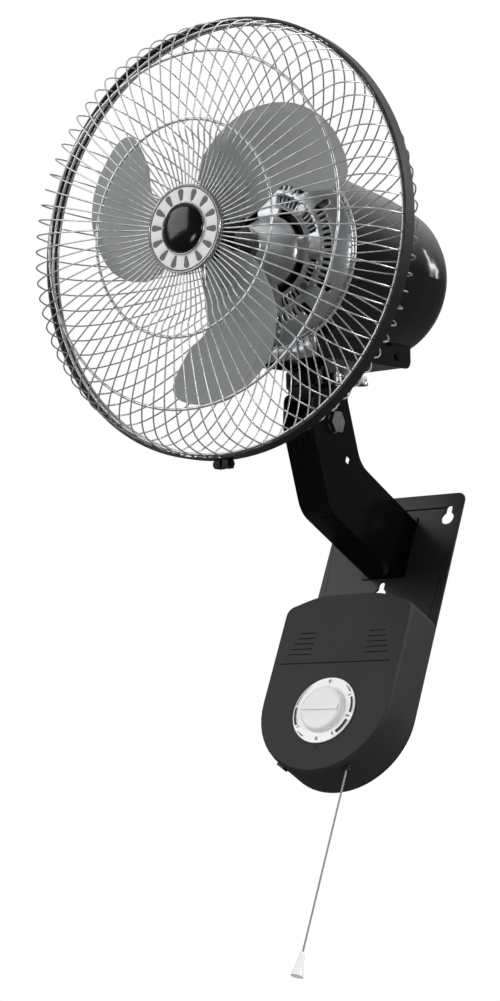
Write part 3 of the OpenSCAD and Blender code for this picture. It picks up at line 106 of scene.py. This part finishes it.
def placeCamera():
    az, el, roll = (math.radians(cameraFacts[k]) for k in ("azimuth", "elevation", "roll"))
    back = Vector((math.sin(az) * math.cos(el), -math.cos(az) * math.cos(el), math.sin(el)))
    level = Vector((math.cos(az), math.sin(az), 0))
    rise = back.cross(level)
    right = level * math.cos(roll) - rise * math.sin(roll)
    up = level * math.sin(roll) + rise * math.cos(roll)
    data = bpy.data.cameras.new("view")
    data.sensor_fit = "VERTICAL"
    data.sensor_height = cameraFacts["sensor"]
    data.lens = cameraFacts["focal"] / cameraFacts["tall"] * cameraFacts["sensor"]
    data.clip_end = cameraFacts["reach"]
    camera = bpy.data.objects.new("view", data)
    bpy.context.scene.collection.objects.link(camera)
    aside = right * cameraFacts["right"] + up * cameraFacts["up"]
    place = Vector(cameraFacts["zero"]) + aside + back * cameraFacts["distance"]
    turn = Matrix((right, up, back)).transposed().to_4x4()
    camera.matrix_world = Matrix.Translation(place) @ turn
    bpy.context.scene.camera = camera


placeCamera()
print("camera placed")


def colour(hexText):
    # every colour is written as sRGB hex and turned to linear here
    channels = [int(hexText[i:i + 2], 16) / 255 for i in (1, 3, 5)]
    linear = [c / 12.92 if c <= 0.04045 else ((c + 0.055) / 1.055) ** 2.4 for c in channels]
    return (*linear, 1.0)


def addNode(tree, kind, settings={}, links={}):
    # settings are the node's own fields, the stops of a ramp or the values of inputs, links are what inputs take
    node = tree.nodes.new(kind)
    for key, value in settings.items():
        if key == "stops":
            for stop, (position, hexText) in zip(node.color_ramp.elements, value):
                stop.position, stop.color = position, colour(hexText)
        elif isinstance(key, int) or key in node.inputs:
            node.inputs[key].default_value = value
        else:
            setattr(node, key, value)
    for key, source in links.items():
        tree.links.new(source, node.inputs[key])
    return node


def startMaterial(name, values):
    material = bpy.data.materials.new(name)
    material.use_nodes = True
    tree = material.node_tree
    shader = tree.nodes["Principled BSDF"]
    for key, value in values.items():
        shader.inputs[key].default_value = value
    return material, tree, shader


def paintedSteel(name, dark, light, roughness, spreadBy, specular, peel):
    # stoved paint on pressed steel: an even colour with a fine orange peel of 1 to 3 mm
    material, tree, shader = startMaterial(name, {"Specular IOR Level": specular})
    place = addNode(tree, "ShaderNodeTexCoord").outputs["Object"]
    cloud = addNode(tree, "ShaderNodeTexNoise", {"Scale": 9.0, "Detail": 3.0}, {"Vector": place}).outputs["Fac"]
    tone = addNode(tree, "ShaderNodeValToRGB", {"stops": [(0.3, dark), (0.7, light)]}, {"Fac": cloud})
    rough = addNode(tree, "ShaderNodeMapRange", {"To Min": roughness - spreadBy, "To Max": roughness + spreadBy},
                    {"Value": cloud})
    skin = addNode(tree, "ShaderNodeTexNoise", {"Scale": 420.0, "Detail": 2.0}, {"Vector": place}).outputs["Fac"]
    bump = addNode(tree, "ShaderNodeBump", {"Strength": peel, "Distance": 0.0004}, {"Height": skin})
    tree.links.new(tone.outputs["Color"], shader.inputs["Base Color"])
    tree.links.new(rough.outputs["Result"], shader.inputs["Roughness"])
    tree.links.new(bump.outputs["Normal"], shader.inputs["Normal"])
    return material


def platedWire(name, dark, light, roughness, metallic=1.0):
    # zinc and chrome plated steel: bright metal with slightly duller patches, less metallic where it is lacquered
    material, tree, shader = startMaterial(name, {"Metallic": metallic})
    place = addNode(tree, "ShaderNodeTexCoord").outputs["Object"]
    patches = addNode(tree, "ShaderNodeTexNoise", {"Scale": 60.0, "Detail": 2.0}, {"Vector": place}).outputs["Fac"]
    tone = addNode(tree, "ShaderNodeValToRGB", {"stops": [(0.35, dark), (0.65, light)]}, {"Fac": patches})
    rough = addNode(tree, "ShaderNodeMapRange", {"To Min": roughness * 0.8, "To Max": roughness * 1.25},
                    {"Value": patches})
    tree.links.new(tone.outputs["Color"], shader.inputs["Base Color"])
    tree.links.new(rough.outputs["Result"], shader.inputs["Roughness"])
    return material


def castAlloy(name, dark, light, roughness):
    # die-cast aluminium, bead blasted: pale, matt, with a grain of about 1 mm
    material, tree, shader = startMaterial(name, {"Metallic": 0.9})
    place = addNode(tree, "ShaderNodeTexCoord").outputs["Object"]
    grain = addNode(tree, "ShaderNodeTexNoise", {"Scale": 700.0, "Detail": 4.0}, {"Vector": place}).outputs["Fac"]
    cloud = addNode(tree, "ShaderNodeTexNoise", {"Scale": 25.0, "Detail": 3.0}, {"Vector": place}).outputs["Fac"]
    tone = addNode(tree, "ShaderNodeValToRGB", {"stops": [(0.3, dark), (0.7, light)]}, {"Fac": cloud})
    rough = addNode(tree, "ShaderNodeMapRange", {"To Min": roughness - 0.08, "To Max": roughness + 0.08},
                    {"Value": grain})
    bump = addNode(tree, "ShaderNodeBump", {"Strength": 0.15, "Distance": 0.0002}, {"Height": grain})
    tree.links.new(tone.outputs["Color"], shader.inputs["Base Color"])
    tree.links.new(rough.outputs["Result"], shader.inputs["Roughness"])
    tree.links.new(bump.outputs["Normal"], shader.inputs["Normal"])
    return material


def mouldedPlastic(name, dark, light, roughness, grainScale, depth, strength, specular=0.5):
    # injection-moulded ABS with a spark-eroded skin, whose grain is given as repeats per metre
    material, tree, shader = startMaterial(name, {"Specular IOR Level": specular})
    place = addNode(tree, "ShaderNodeTexCoord").outputs["Object"]
    cloud = addNode(tree, "ShaderNodeTexNoise", {"Scale": 14.0, "Detail": 2.0}, {"Vector": place}).outputs["Fac"]
    grain = addNode(tree, "ShaderNodeTexNoise", {"Scale": grainScale, "Detail": 3.0, "Roughness": 0.6},
                    {"Vector": place}).outputs["Fac"]
    tone = addNode(tree, "ShaderNodeValToRGB", {"stops": [(0.3, dark), (0.7, light)]}, {"Fac": cloud})
    rough = addNode(tree, "ShaderNodeMapRange", {"To Min": roughness - 0.05, "To Max": roughness + 0.05},
                    {"Value": grain})
    bump = addNode(tree, "ShaderNodeBump", {"Strength": strength, "Distance": depth}, {"Height": grain})
    tree.links.new(tone.outputs["Color"], shader.inputs["Base Color"])
    tree.links.new(rough.outputs["Result"], shader.inputs["Roughness"])
    tree.links.new(bump.outputs["Normal"], shader.inputs["Normal"])
    return material


def sheetLamination(name):
    # stacked motor sheets 0.5 mm thick, drawn as 1.5 mm so that they show
    material, tree, shader = startMaterial(name, {"Metallic": 0.8, "Roughness": 0.45})
    place = addNode(tree, "ShaderNodeTexCoord").outputs["Object"]
    layers = addNode(tree, "ShaderNodeTexWave", {"Scale": 110.0, "Distortion": 0.4, "bands_direction": "Y"},
                     {"Vector": place}).outputs["Fac"]
    tone = addNode(tree, "ShaderNodeValToRGB", {"stops": [(0.0, "#6c6f73"), (1.0, "#9a9da1")]}, {"Fac": layers})
    bump = addNode(tree, "ShaderNodeBump", {"Strength": 0.4, "Distance": 0.0003}, {"Height": layers})
    tree.links.new(tone.outputs["Color"], shader.inputs["Base Color"])
    tree.links.new(bump.outputs["Normal"], shader.inputs["Normal"])
    return material


def enamelledWire(name):
    # copper windings dipped in varnish, drawn nearly black as painted shade so that the motor's slots look dark,
    # the turns about 1 mm apart
    material, tree, shader = startMaterial(name, {"Metallic": 0.2, "Roughness": 0.4, "Specular IOR Level": 0.3})
    place = addNode(tree, "ShaderNodeTexCoord").outputs["Object"]
    turns = addNode(tree, "ShaderNodeTexWave", {"Scale": 160.0, "Distortion": 1.5},
                    {"Vector": place}).outputs["Fac"]
    # the near black of these stops is painted shade inside the motor
    tone = addNode(tree, "ShaderNodeValToRGB", {"stops": [(0.0, "#0d0908"), (1.0, "#221512")]}, {"Fac": turns})
    bump = addNode(tree, "ShaderNodeBump", {"Strength": 0.6, "Distance": 0.0004}, {"Height": turns})
    tree.links.new(tone.outputs["Color"], shader.inputs["Base Color"])
    tree.links.new(bump.outputs["Normal"], shader.inputs["Normal"])
    return material


def braidedCord(name):
    # a braided polyester cord, its strands crossing about every millimetre along the piece's own UV
    material, tree, shader = startMaterial(name, {"Roughness": 0.75, "Sheen Weight": 0.2})
    place = addNode(tree, "ShaderNodeTexCoord").outputs["UV"]
    strands = addNode(tree, "ShaderNodeMapping", {"Scale": (3.0, 120.0, 1.0)}, {"Vector": place}).outputs["Vector"]
    weave = addNode(tree, "ShaderNodeTexChecker", {"Scale": 1.0}, {"Vector": strands}).outputs["Fac"]
    tone = addNode(tree, "ShaderNodeValToRGB", {"stops": [(0.0, "#77797b"), (1.0, "#a3a5a7")]}, {"Fac": weave})
    bump = addNode(tree, "ShaderNodeBump", {"Strength": 0.5, "Distance": 0.0003}, {"Height": weave})
    tree.links.new(tone.outputs["Color"], shader.inputs["Base Color"])
    tree.links.new(bump.outputs["Normal"], shader.inputs["Normal"])
    return material


finishes = {
    # gloss black on the arm and neck, nearly without grey
    "black_paint": paintedSteel("blackStovedPaint", "#050505", "#090909", roughness=0.18, spreadBy=0.02,
                                specular=0.15, peel=0.01),
    # satin black on the wall plate, greyer where it turns to the light
    "plate_paint": paintedSteel("plateStovedPaint", "#121212", "#181818", roughness=0.4, spreadBy=0.04,
                                specular=0.45, peel=0.05),
    # deep gloss on the motor's cover, with sharp streaks of light
    "cover_paint": paintedSteel("coverGlossPaint", "#050505", "#080808", roughness=0.08, spreadBy=0.01,
                                specular=0.45, peel=0.0),
    # half matt black on the guard's band
    "band_paint": paintedSteel("bandPaint", "#131313", "#181818", roughness=0.42, spreadBy=0.04,
                               specular=0.4, peel=0.05),
    # plain grey, half matt
    "blade_paint": paintedSteel("bladePaint", "#838586", "#8b8d8e", roughness=0.4, spreadBy=0.03,
                                specular=0.4, peel=0.04),
    # dull on washers, pins and the link, brighter on bolts and the badge's rim
    "zinc": platedWire("zincPlate", "#a4a7aa", "#b6b9bc", roughness=0.34),
    "chrome": platedWire("chromePlate", "#b2b4b6", "#c6c8ca", roughness=0.2),
    # plated guard wire under clear lacquer, which takes an even light as well as bright lines
    "guard_wire": platedWire("lacqueredWire", "#bfc1c3", "#cdcfd1", roughness=0.26, metallic=0.7),
    # pale and softly bright, on the motor's two shields
    "cast_alloy": castAlloy("castAluminium", "#b4b6b8", "#c8cacc", roughness=0.3),
    "lamination": sheetLamination("motorSheets"),
    # windings nearly black: painted shade inside the motor
    "copper": enamelledWire("windingNearBlackAsShade"),
    # brown and dull, on the bushings and the thrust washer
    "bronze": platedWire("sinteredBronze", "#9a7a42", "#b08d4f", roughness=0.45),
    # dark grey with a fine even grain
    "box_plastic": mouldedPlastic("boxAbs", "#272727", "#2c2c2c", roughness=0.6, grainScale=900.0,
                                  depth=0.0003, strength=0.25, specular=0.3),
    # black with a low sheen, on the hub, the clamp and the dial's printed marks
    "guide_plastic": mouldedPlastic("blackNylon", "#0c0c0c", "#121212", roughness=0.45, grainScale=700.0,
                                    depth=0.0003, strength=0.2, specular=0.35),
    # clean white with hardly any grain, and a knob a shade greyer
    "white_plastic": mouldedPlastic("whiteAbs", "#f0f0ee", "#f7f7f5", roughness=0.35, grainScale=500.0,
                                    depth=0.0002, strength=0.08),
    "knob_plastic": mouldedPlastic("knobAbs", "#dfe0e0", "#e8e9e9", roughness=0.32, grainScale=500.0,
                                   depth=0.0002, strength=0.08),
    "cord_fibre": braidedCord("braidedCord"),
    # pale satin paint of the badge, and the grey of its drops
    "badge_silver": paintedSteel("badgeSilverPaint", "#d6d7d6", "#dddedd", roughness=0.45, spreadBy=0.03,
                                 specular=0.4, peel=0.01),
    "badge_mark": paintedSteel("badgeGreyInk", "#5c5d5e", "#646566", roughness=0.5, spreadBy=0.03,
                               specular=0.3, peel=0.01),
    # polished black cap
    "badge_black": mouldedPlastic("badgeGloss", "#050505", "#080808", roughness=0.14, grainScale=300.0,
                                  depth=0.0001, strength=0.01, specular=0.4),
}
# nodes whose finish differs in detail from their slot
finerFinish = {"blade_rivets": "blade_paint", "badge_backing": "blade_paint",
               "front_guard_rings": "guard_wire", "rear_guard_rings": "guard_wire"}
slotOf = {part["node"]: part["material_slot"] for part in frame["record"]["subparts"]}
finishOf = {**slotOf, **finerFinish}
for node, thing in frame["nodes"].items():
    thing.data.materials.clear()
    thing.data.materials.append(finishes[finishOf[node]])
print("materials ready", len(finishes))


def dress(piece, slotName, body, *nodes, finish=None):
    # a piece gets its finish, which its material slot picks unless another is named, and the body it rides on, and
    # the solids it stands for are hidden
    piece.data.materials.clear()
    piece.data.materials.append(finishes[finish or slotName])
    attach(piece, body)
    if nodes:
        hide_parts(*nodes)
    return piece


bodies = frame["record"]["behaviour"]["bodies"]
bodyOf = {node: body for body, nodes in bodies.items() for node in nodes}


# width in mm of the rounding along the edges of the pressed, cast and moulded solids, where 0 leaves them sharp
edgeWidths = {"wall_plate": 0.6, "arm_bracket": 0.6, "arm_foot": 0.5, "box_cover": 0.5, "neck_bracket": 0.5,
              "front_shield": 0, "rear_cover": 0.6, "head_base": 0.8, "number_dial": 0.4, "dial_knob": 0.8,
              "cord_bell": 0.4, "guard_band": 0.3, "badge_plate": 0, "badge_rim": 0.8, "badge_cap": 0.3,
              "tilt_bolt": 0.6, "tilt_nut": 0.6, "foot_screw": 0.5, "pivot_socket": 0.5, "front_guard_rings": 0,
              "rear_guard_rings": 0, "swing_link": 0.3, "crank_disc": 0.4, "band_clamp": 0.6, "hub_spider": 0.3,
              "blade_hub": 0.8, "rear_shield": 0.4}
edgeFacts = {"joined": 0.00001, "steps": 2, "sharp": math.radians(40)}


def softCopy(node, width):
    # the solid's triangles are joined, its sharp edges rounded, and its faces shaded by their size
    source = frame["nodes"][node]
    piece = bpy.data.objects.new("soft_" + node, source.data.copy())
    bpy.context.scene.collection.objects.link(piece)
    merge = piece.modifiers.new("merge", "WELD")
    merge.merge_threshold = edgeFacts["joined"]
    if width:
        edge = piece.modifiers.new("edge", "BEVEL")
        edge.width = width * mm
        edge.segments = edgeFacts["steps"]
        edge.limit_method = "ANGLE"
        edge.angle_limit = edgeFacts["sharp"]
        edge.use_clamp_overlap = True
    piece.data.shade_smooth()
    piece.data.set_sharp_from_angle(angle=edgeFacts["sharp"])
    even = piece.modifiers.new("even", "WEIGHTED_NORMAL")
    even.keep_sharp = True
    return dress(piece, slotOf[node], bodyOf[node], node, finish=finishOf[node])


# the pull cord hangs straight from the box, in metres
cordRoute = {"points": [(0.040, -0.041, z) for z in (-0.290, -0.350, -0.405, -0.460, -0.518)],
             "diameter": 0.002, "sides": 12, "rings": 90, "weaveRepeats": 1.3}


def makeCord():
    # rings of even size square to a hanging line, with the line's length as the second texture direction
    sides, rings = cordRoute["sides"], cordRoute["rings"]
    line = smoothLine(cordRoute["points"], rings)
    turn = np.linspace(0, 2 * math.pi, sides, endpoint=False)
    ring = np.stack([np.cos(turn), np.sin(turn), np.zeros_like(turn)], axis=-1) * cordRoute["diameter"] / 2
    points = line[:, None, :] + ring[None, :, :]
    faces = gridFaces(rings, sides, True).tolist()
    faces += [list(range(sides))[::-1], list(range((rings - 1) * sides, rings * sides))]
    piece = meshFrom("pullCord", points, [f[::-1] for f in faces])
    layer = piece.data.uv_layers.new(name="along")
    index = np.empty(len(piece.data.loops), dtype=np.int32)
    piece.data.loops.foreach_get("vertex_index", index)
    uv = np.stack([(index % sides) / sides, (index // sides) / rings * cordRoute["weaveRepeats"]], axis=-1)
    layer.data.foreach_set("uv", uv.astype(np.float32).ravel())
    dress(piece, "cord_fibre", "pull", "pull_cord")
    bell = softCopy("cord_bell", edgeWidths["cord_bell"])


makeCord()
print("pull cord made")


# guard wires, whose lines are pairs of radius and forward distance in mm
wireFacts = {"count": 78, "radius": 0.8, "sides": 8, "frontRings": 46, "rearRings": 36}
frontLine = [(40.95, 56.95), (60.1, 57.4), (76.5, 59.3), (86.6, 61.1), (96.7, 66), (108.8, 67), (144.2, 64.2),
             (179.6, 58.5), (200.7, 50.2), (212, 38.2), (218.7, 20.1), (222.1, 2)]
rearLine = [(95, -96.95), (98, -97.35), (111, -95.85), (139.5, -89), (165.4, -78), (194.9, -57), (213.1, -33),
            (219.6, -16), (222.1, -2)]


def makeWires(name, line, rings, node):
    # one wire is rings of points square to its line, and all the wires are that turned evenly round the axis
    count, sides, radius = wireFacts["count"], wireFacts["sides"], wireFacts["radius"]
    path = smoothLine(line, rings)
    along = np.gradient(path, axis=0)
    along /= np.linalg.norm(along, axis=1)[:, None]
    across = np.stack([-along[:, 1], along[:, 0]], axis=-1)
    turn = np.linspace(0, 2 * math.pi, sides, endpoint=False)
    flat = path[:, None, :] + radius * np.cos(turn)[None, :, None] * across[:, None, :]
    side = np.broadcast_to(radius * np.sin(turn)[None, :], flat.shape[:2])
    spin = np.linspace(0, 2 * math.pi, count, endpoint=False) + math.pi / 2
    c, s = np.cos(spin)[:, None, None], np.sin(spin)[:, None, None]
    a = flat[None, ..., 0] * c - side[None] * s
    b = flat[None, ..., 0] * s + side[None] * c
    f = np.broadcast_to(flat[None, ..., 1], a.shape)
    points = headToRow(np.stack([a, b, f], axis=-1))
    block = rings * sides
    skin = gridFaces(rings, sides, True)
    faces = []
    for first in range(0, count * block, block):
        faces += (skin + first).tolist()
        faces.append(list(range(first, first + sides))[::-1])
        faces.append(list(range(first + block - sides, first + block)))
    dress(meshFrom(name, points, faces), "chrome", "head", node, finish="guard_wire")


makeWires("frontWires", frontLine, wireFacts["frontRings"], "front_guard_wires")
makeWires("rearWires", rearLine, wireFacts["rearRings"], "rear_guard_wires")
print("guard wires made")


# blades, whose rows are share of the radius and the turns of the two edges in degrees
bladeFacts = {"radius": 170, "thickness": 1.4, "mid": 17, "slope": 0.3, "midTurn": 36,
              "camber": 7, "camberTurn": 40,
              "flap": 4, "flapShare": 0.16, "flapFrom": 0.3, "flapTo": 0.93, "flapFade": 0.05,
              "rows": 72, "columns": 44, "count": 3, "edge": 0.4, "edgeSteps": 2}
bladeRows = [(0.15, 2, 66), (0.2, 1.5, 69), (0.27, 1.4, 71), (0.345, -2.4, 71), (0.42, -1.1, 69), (0.49, 2.6, 66.5),
             (0.55, 6.8, 65.6), (0.6, 10, 69), (0.68, 15.8, 75.5), (0.75, 21.2, 77.8), (0.82, 28, 79.3),
             (0.89, 36, 80), (0.945, 44.5, 79.2), (0.985, 53, 76), (1, 60, 71)]


def makeBlades():
    # height falls with the turn angle, curls up at both edges, and drops again along a creased flap
    edge = smoothLine(bladeRows, bladeFacts["rows"])
    share = np.linspace(0, 1, bladeFacts["columns"])
    turn = edge[:, 1:2] + (edge[:, 2:3] - edge[:, 1:2]) * share[None, :]
    radius = np.broadcast_to(edge[:, :1] * bladeFacts["radius"], turn.shape)
    inner = np.clip((edge[:, :1] - bladeFacts["flapFrom"]) / bladeFacts["flapFade"], 0, 1)
    outer = np.clip((bladeFacts["flapTo"] - edge[:, :1]) / bladeFacts["flapFade"], 0, 1)
    flap = bladeFacts["flap"] * np.clip(1 - share[None, :] / bladeFacts["flapShare"], 0, 1) * inner * outer
    fromMiddle = turn - bladeFacts["midTurn"]
    curl = bladeFacts["camber"] * (fromMiddle / bladeFacts["camberTurn"]) ** 2
    height = bladeFacts["mid"] - bladeFacts["slope"] * fromMiddle + curl - flap
    parts, faces = [], []
    one = gridFaces(*turn.shape, False)
    for k in range(bladeFacts["count"]):
        angle = np.radians(turn + 360 / bladeFacts["count"] * k)
        parts.append(headToRow(np.stack([radius * np.sin(angle), radius * np.cos(angle), height], axis=-1)))
        faces += (one + k * turn.size).tolist()
    piece = meshFrom("bladeSheets", np.stack(parts), faces)
    wall = piece.modifiers.new("wall", "SOLIDIFY")
    wall.thickness = bladeFacts["thickness"] * mm
    wall.offset = 0
    rim = piece.modifiers.new("rim", "BEVEL")
    rim.width = bladeFacts["edge"] * mm
    rim.segments = bladeFacts["edgeSteps"]
    rim.limit_method = "ANGLE"
    dress(piece, "blade_paint", "fan", "blades")


makeBlades()
print("blades made")


for node, width in edgeWidths.items():
    if node != "cord_bell":
        softCopy(node, width)
print("smoother copies made", len(edgeWidths))


# badge marks, and a black ring of painted shadow inside the rim, in mm from the fan's axis
badgeFacts = {"face": 61.02, "slots": 14, "turn": -8.2, "inner": 28.4, "outer": 40.4, "wide": 4.1, "narrow": 1.4,
              "shadowRingIn": 41.4, "shadowRingOut": 42.7, "rows": 25, "shadowRingSteps": 96, "thickness": 0.2}


def makeBadgeMarks():
    # each mark is a drop: its half width grows evenly outwards, and both ends close in half rounds
    inner, outer, narrow, wide = (badgeFacts[k] for k in ("inner", "outer", "narrow", "wide"))
    rows, steps = badgeFacts["rows"], badgeFacts["shadowRingSteps"]
    share = np.linspace(0, 1, rows)
    along = inner + (outer - inner) * share
    straight = narrow + (wide - narrow) * share
    endIn = np.sqrt(np.clip(1 - ((along - inner) / narrow - 1) ** 2, 0, 1))
    endOut = np.sqrt(np.clip(1 - ((outer - along) / wide - 1) ** 2, 0, 1))
    half = straight * np.where(along < inner + narrow, endIn, 1) * np.where(along > outer - wide, endOut, 1)
    corners, faces = [], []
    one = gridFaces(rows, 2, False)
    for k in range(badgeFacts["slots"]):
        turn = math.radians(360 * k / badgeFacts["slots"] + badgeFacts["turn"])
        c, s = math.cos(turn), math.sin(turn)
        side = np.stack([-half, half], axis=-1)
        a = along[:, None] * c - side * s
        b = along[:, None] * s + side * c
        corners.append(headToRow(np.stack([a, b, np.full_like(a, badgeFacts["face"])], axis=-1)).reshape(-1, 3))
        faces += (one + k * 2 * rows).tolist()
    marks = meshFrom("badgeMarks", np.vstack(corners), faces, smooth=False)
    dress(marks, "blade_paint", "head", finish="badge_mark")
    # a thin black ring just inside the badge's rim is painted shadow: it stands for the shade in the gap between
    # the plate and the rim
    angle = np.linspace(0, 2 * math.pi, steps, endpoint=False)
    radii = np.array([badgeFacts["shadowRingIn"], badgeFacts["shadowRingOut"]])[:, None]
    level = np.full((2, steps), badgeFacts["face"])
    ring = np.stack([radii * np.cos(angle), radii * np.sin(angle), level], axis=-1)
    line = meshFrom("badgePaintedShadowRing", headToRow(ring), gridFaces(2, steps, True), smooth=False)
    dress(line, "badge_black", "head")
    for piece in (marks, line):
        wall = piece.modifiers.new("wall", "SOLIDIFY")
        wall.thickness = badgeFacts["thickness"] * mm
        wall.offset = 0


makeBadgeMarks()
print("badge marks made")


# dial marks in mm and degrees: figures as (turn, figure), arcs as (from, to, first width, last width)
dialFacts = {"centre": (2.5, -258), "face": -55.42, "figureRadius": 33, "figureHigh": 5.0, "figureBold": 0.12,
             "arcRadius": 35.7, "arcSteps": 16, "thickness": 0.12,
             "figures": [(0, "0"), (60, "1"), (103, "2"), (146, "3"), (180, "0"), (234, "1")],
             "arcs": [(38, 54, 0.4, 1.2), (66, 96, 2.0, 2.5), (110, 139, 3.0, 3.4),
                      (211, 227, 1.2, 0.4), (240, 275, 2.4, 1.9), (278, 322, 1.0, 0.3)]}


def makeDialMarks():
    # plain figures round the dial, and arcs whose width runs evenly from one end to the other
    centreX, centreZ = dialFacts["centre"]
    steps = dialFacts["arcSteps"]
    corners, faces = [], []
    for degrees, figure in dialFacts["figures"]:
        turn = math.radians(degrees)
        data = bpy.data.curves.new("figure", "FONT")
        data.body = figure
        data.size = dialFacts["figureHigh"]
        data.offset = dialFacts["figureBold"]
        data.align_x = "CENTER"
        data.align_y = "CENTER"
        thing = bpy.data.objects.new("figure", data)
        bpy.context.scene.collection.objects.link(thing)
        bpy.context.view_layer.update()
        mesh = thing.to_mesh()
        flat = np.array([v.co[:2] for v in mesh.vertices])
        c, s = math.cos(-turn), math.sin(-turn)
        x = flat[:, 0] * c - flat[:, 1] * s + dialFacts["figureRadius"] * math.sin(turn) + centreX
        z = flat[:, 0] * s + flat[:, 1] * c + dialFacts["figureRadius"] * math.cos(turn) + centreZ
        start = sum(len(p) for p in corners)
        corners.append(np.stack([x, np.full_like(x, dialFacts["face"]), z], axis=-1) * mm)
        faces += [[start + i for i in p.vertices] for p in mesh.polygons]
        thing.to_mesh_clear()
        bpy.data.objects.remove(thing)
    for fromTurn, toTurn, wideFirst, wideLast in dialFacts["arcs"]:
        angle = np.radians(np.linspace(fromTurn, toTurn, steps))
        inner = dialFacts["arcRadius"] - np.linspace(wideFirst, wideLast, steps)
        outer = np.full(steps, dialFacts["arcRadius"])
        x = np.stack([inner * np.sin(angle), outer * np.sin(angle)], axis=-1) + centreX
        z = np.stack([inner * np.cos(angle), outer * np.cos(angle)], axis=-1) + centreZ
        start = sum(len(p) for p in corners)
        corners.append(np.stack([x, np.full_like(x, dialFacts["face"]), z], axis=-1).reshape(-1, 3) * mm)
        faces += (gridFaces(steps, 2, False) + start).tolist()
    piece = meshFrom("dialMarks", np.vstack(corners), faces, smooth=False)
    wall = piece.modifiers.new("wall", "SOLIDIFY")
    wall.thickness = dialFacts["thickness"] * mm
    wall.offset = 0
    dress(piece, "guide_plastic", "dial")


makeDialMarks()
print("dial figures made")


# floor, studio and lamps
stageFacts = {"floorLow": -6.5, "size": 40, "floorColour": "#e9e9e7", "floorLift": 0.5,
              "backdrop": 1.0, "lowStudio": 0.12, "highStudio": 1.0, "paleFrom": 0.5, "paleTo": 1.0,
              "fill": 0.55}
# place, aim and size in metres, power in watts
lamps = {"keyLamp": ((-1.9, -2.6, 0.5), (0, -0.3, 0), (2.0, 2.4), 42),
         "sideLamp": ((2.3, 0.6, 1.5), (0, -0.2, 0), (0.6, 1.8), 40),
         "edgeLamp": ((2.0, -1.5, -0.3), (0, -0.3, 0), (0.5, 0.5), 11),
         "lowLamp": ((-0.2, -2.7, -1.6), (0, -0.4, 0), (0.7, 0.5), 7),
         "stripLamp": ((0.98, 2.0, 2.1), (0.09, -0.18, 0.21), (0.025, 0.8), 1.2)}


def makeFloor():
    # a pale floor far below: the camera sees it nearly white with the shadow in it, gloss sees the low studio
    half, level = stageFacts["size"] / 2, stageFacts["floorLow"]
    corners = np.array([(-half, -half, level), (half, -half, level), (half, half, level), (-half, half, level)])
    floor = meshFrom("floor", corners, [(0, 1, 2, 3)], smooth=False)
    pale = {"Roughness": 0.8, "Base Color": colour(stageFacts["floorColour"])}
    material, tree, shader = startMaterial("paleFloor", pale)
    seenBy = addNode(tree, "ShaderNodeLightPath").outputs
    lift = addNode(tree, "ShaderNodeMath", {"operation": "MULTIPLY", 1: stageFacts["floorLift"]},
                   {0: seenBy["Is Camera Ray"]})
    glow = addNode(tree, "ShaderNodeEmission", links={"Strength": lift.outputs[0]})
    both = addNode(tree, "ShaderNodeAddShader", links={0: shader.outputs["BSDF"], 1: glow.outputs["Emission"]})
    dim = addNode(tree, "ShaderNodeEmission", {"Strength": stageFacts["lowStudio"]})
    either = addNode(tree, "ShaderNodeMixShader", links={0: seenBy["Is Glossy Ray"], 1: both.outputs["Shader"],
                                                         2: dim.outputs["Emission"]})
    tree.links.new(either.outputs["Shader"], tree.nodes["Material Output"].inputs["Surface"])
    floor.data.materials.append(material)


def makeStudio():
    # the camera and glass see plain white, metal sees a studio that is paler above, matt surfaces an even fill
    world = bpy.data.worlds.new("studio")
    bpy.context.scene.world = world
    world.use_nodes = True
    tree = world.node_tree
    tree.nodes.clear()
    seenBy = addNode(tree, "ShaderNodeLightPath").outputs
    place = addNode(tree, "ShaderNodeTexCoord").outputs["Generated"]
    part = addNode(tree, "ShaderNodeSeparateXYZ", links={"Vector": place})
    tallFacts = {"interpolation_type": "SMOOTHSTEP",
                 "From Min": stageFacts["paleFrom"], "From Max": stageFacts["paleTo"],
                 "To Min": stageFacts["lowStudio"], "To Max": stageFacts["highStudio"]}
    tall = addNode(tree, "ShaderNodeMapRange", tallFacts, {"Value": part.outputs["Z"]})
    fill = addNode(tree, "ShaderNodeMix", {"data_type": "FLOAT", 2: stageFacts["fill"]},
                   {0: seenBy["Is Glossy Ray"], 3: tall.outputs["Result"]})
    seen = addNode(tree, "ShaderNodeMath", {"operation": "MAXIMUM"},
                   {0: seenBy["Is Camera Ray"], 1: seenBy["Is Transmission Ray"]})
    level = addNode(tree, "ShaderNodeMix", {"data_type": "FLOAT", 3: stageFacts["backdrop"]},
                    {0: seen.outputs[0], 2: fill.outputs[0]})
    light = addNode(tree, "ShaderNodeBackground", {"Color": (1, 1, 1, 1)}, {"Strength": level.outputs[0]})
    addNode(tree, "ShaderNodeOutputWorld", links={"Surface": light.outputs["Background"]})


def addLamp(name, place, target, size, power):
    data = bpy.data.lights.new(name, "AREA")
    data.shape = "RECTANGLE"
    data.size, data.size_y = size
    data.energy = power
    lamp = bpy.data.objects.new(name, data)
    bpy.context.scene.collection.objects.link(lamp)
    lamp.location = place
    lamp.rotation_euler = (Vector(target) - Vector(place)).to_track_quat("-Z", "Y").to_euler()


makeFloor()
makeStudio()
for name, facts in lamps.items():
    addLamp(name, *facts)
bpy.context.scene.view_settings.view_transform = "Standard"
print("floor and light ready")
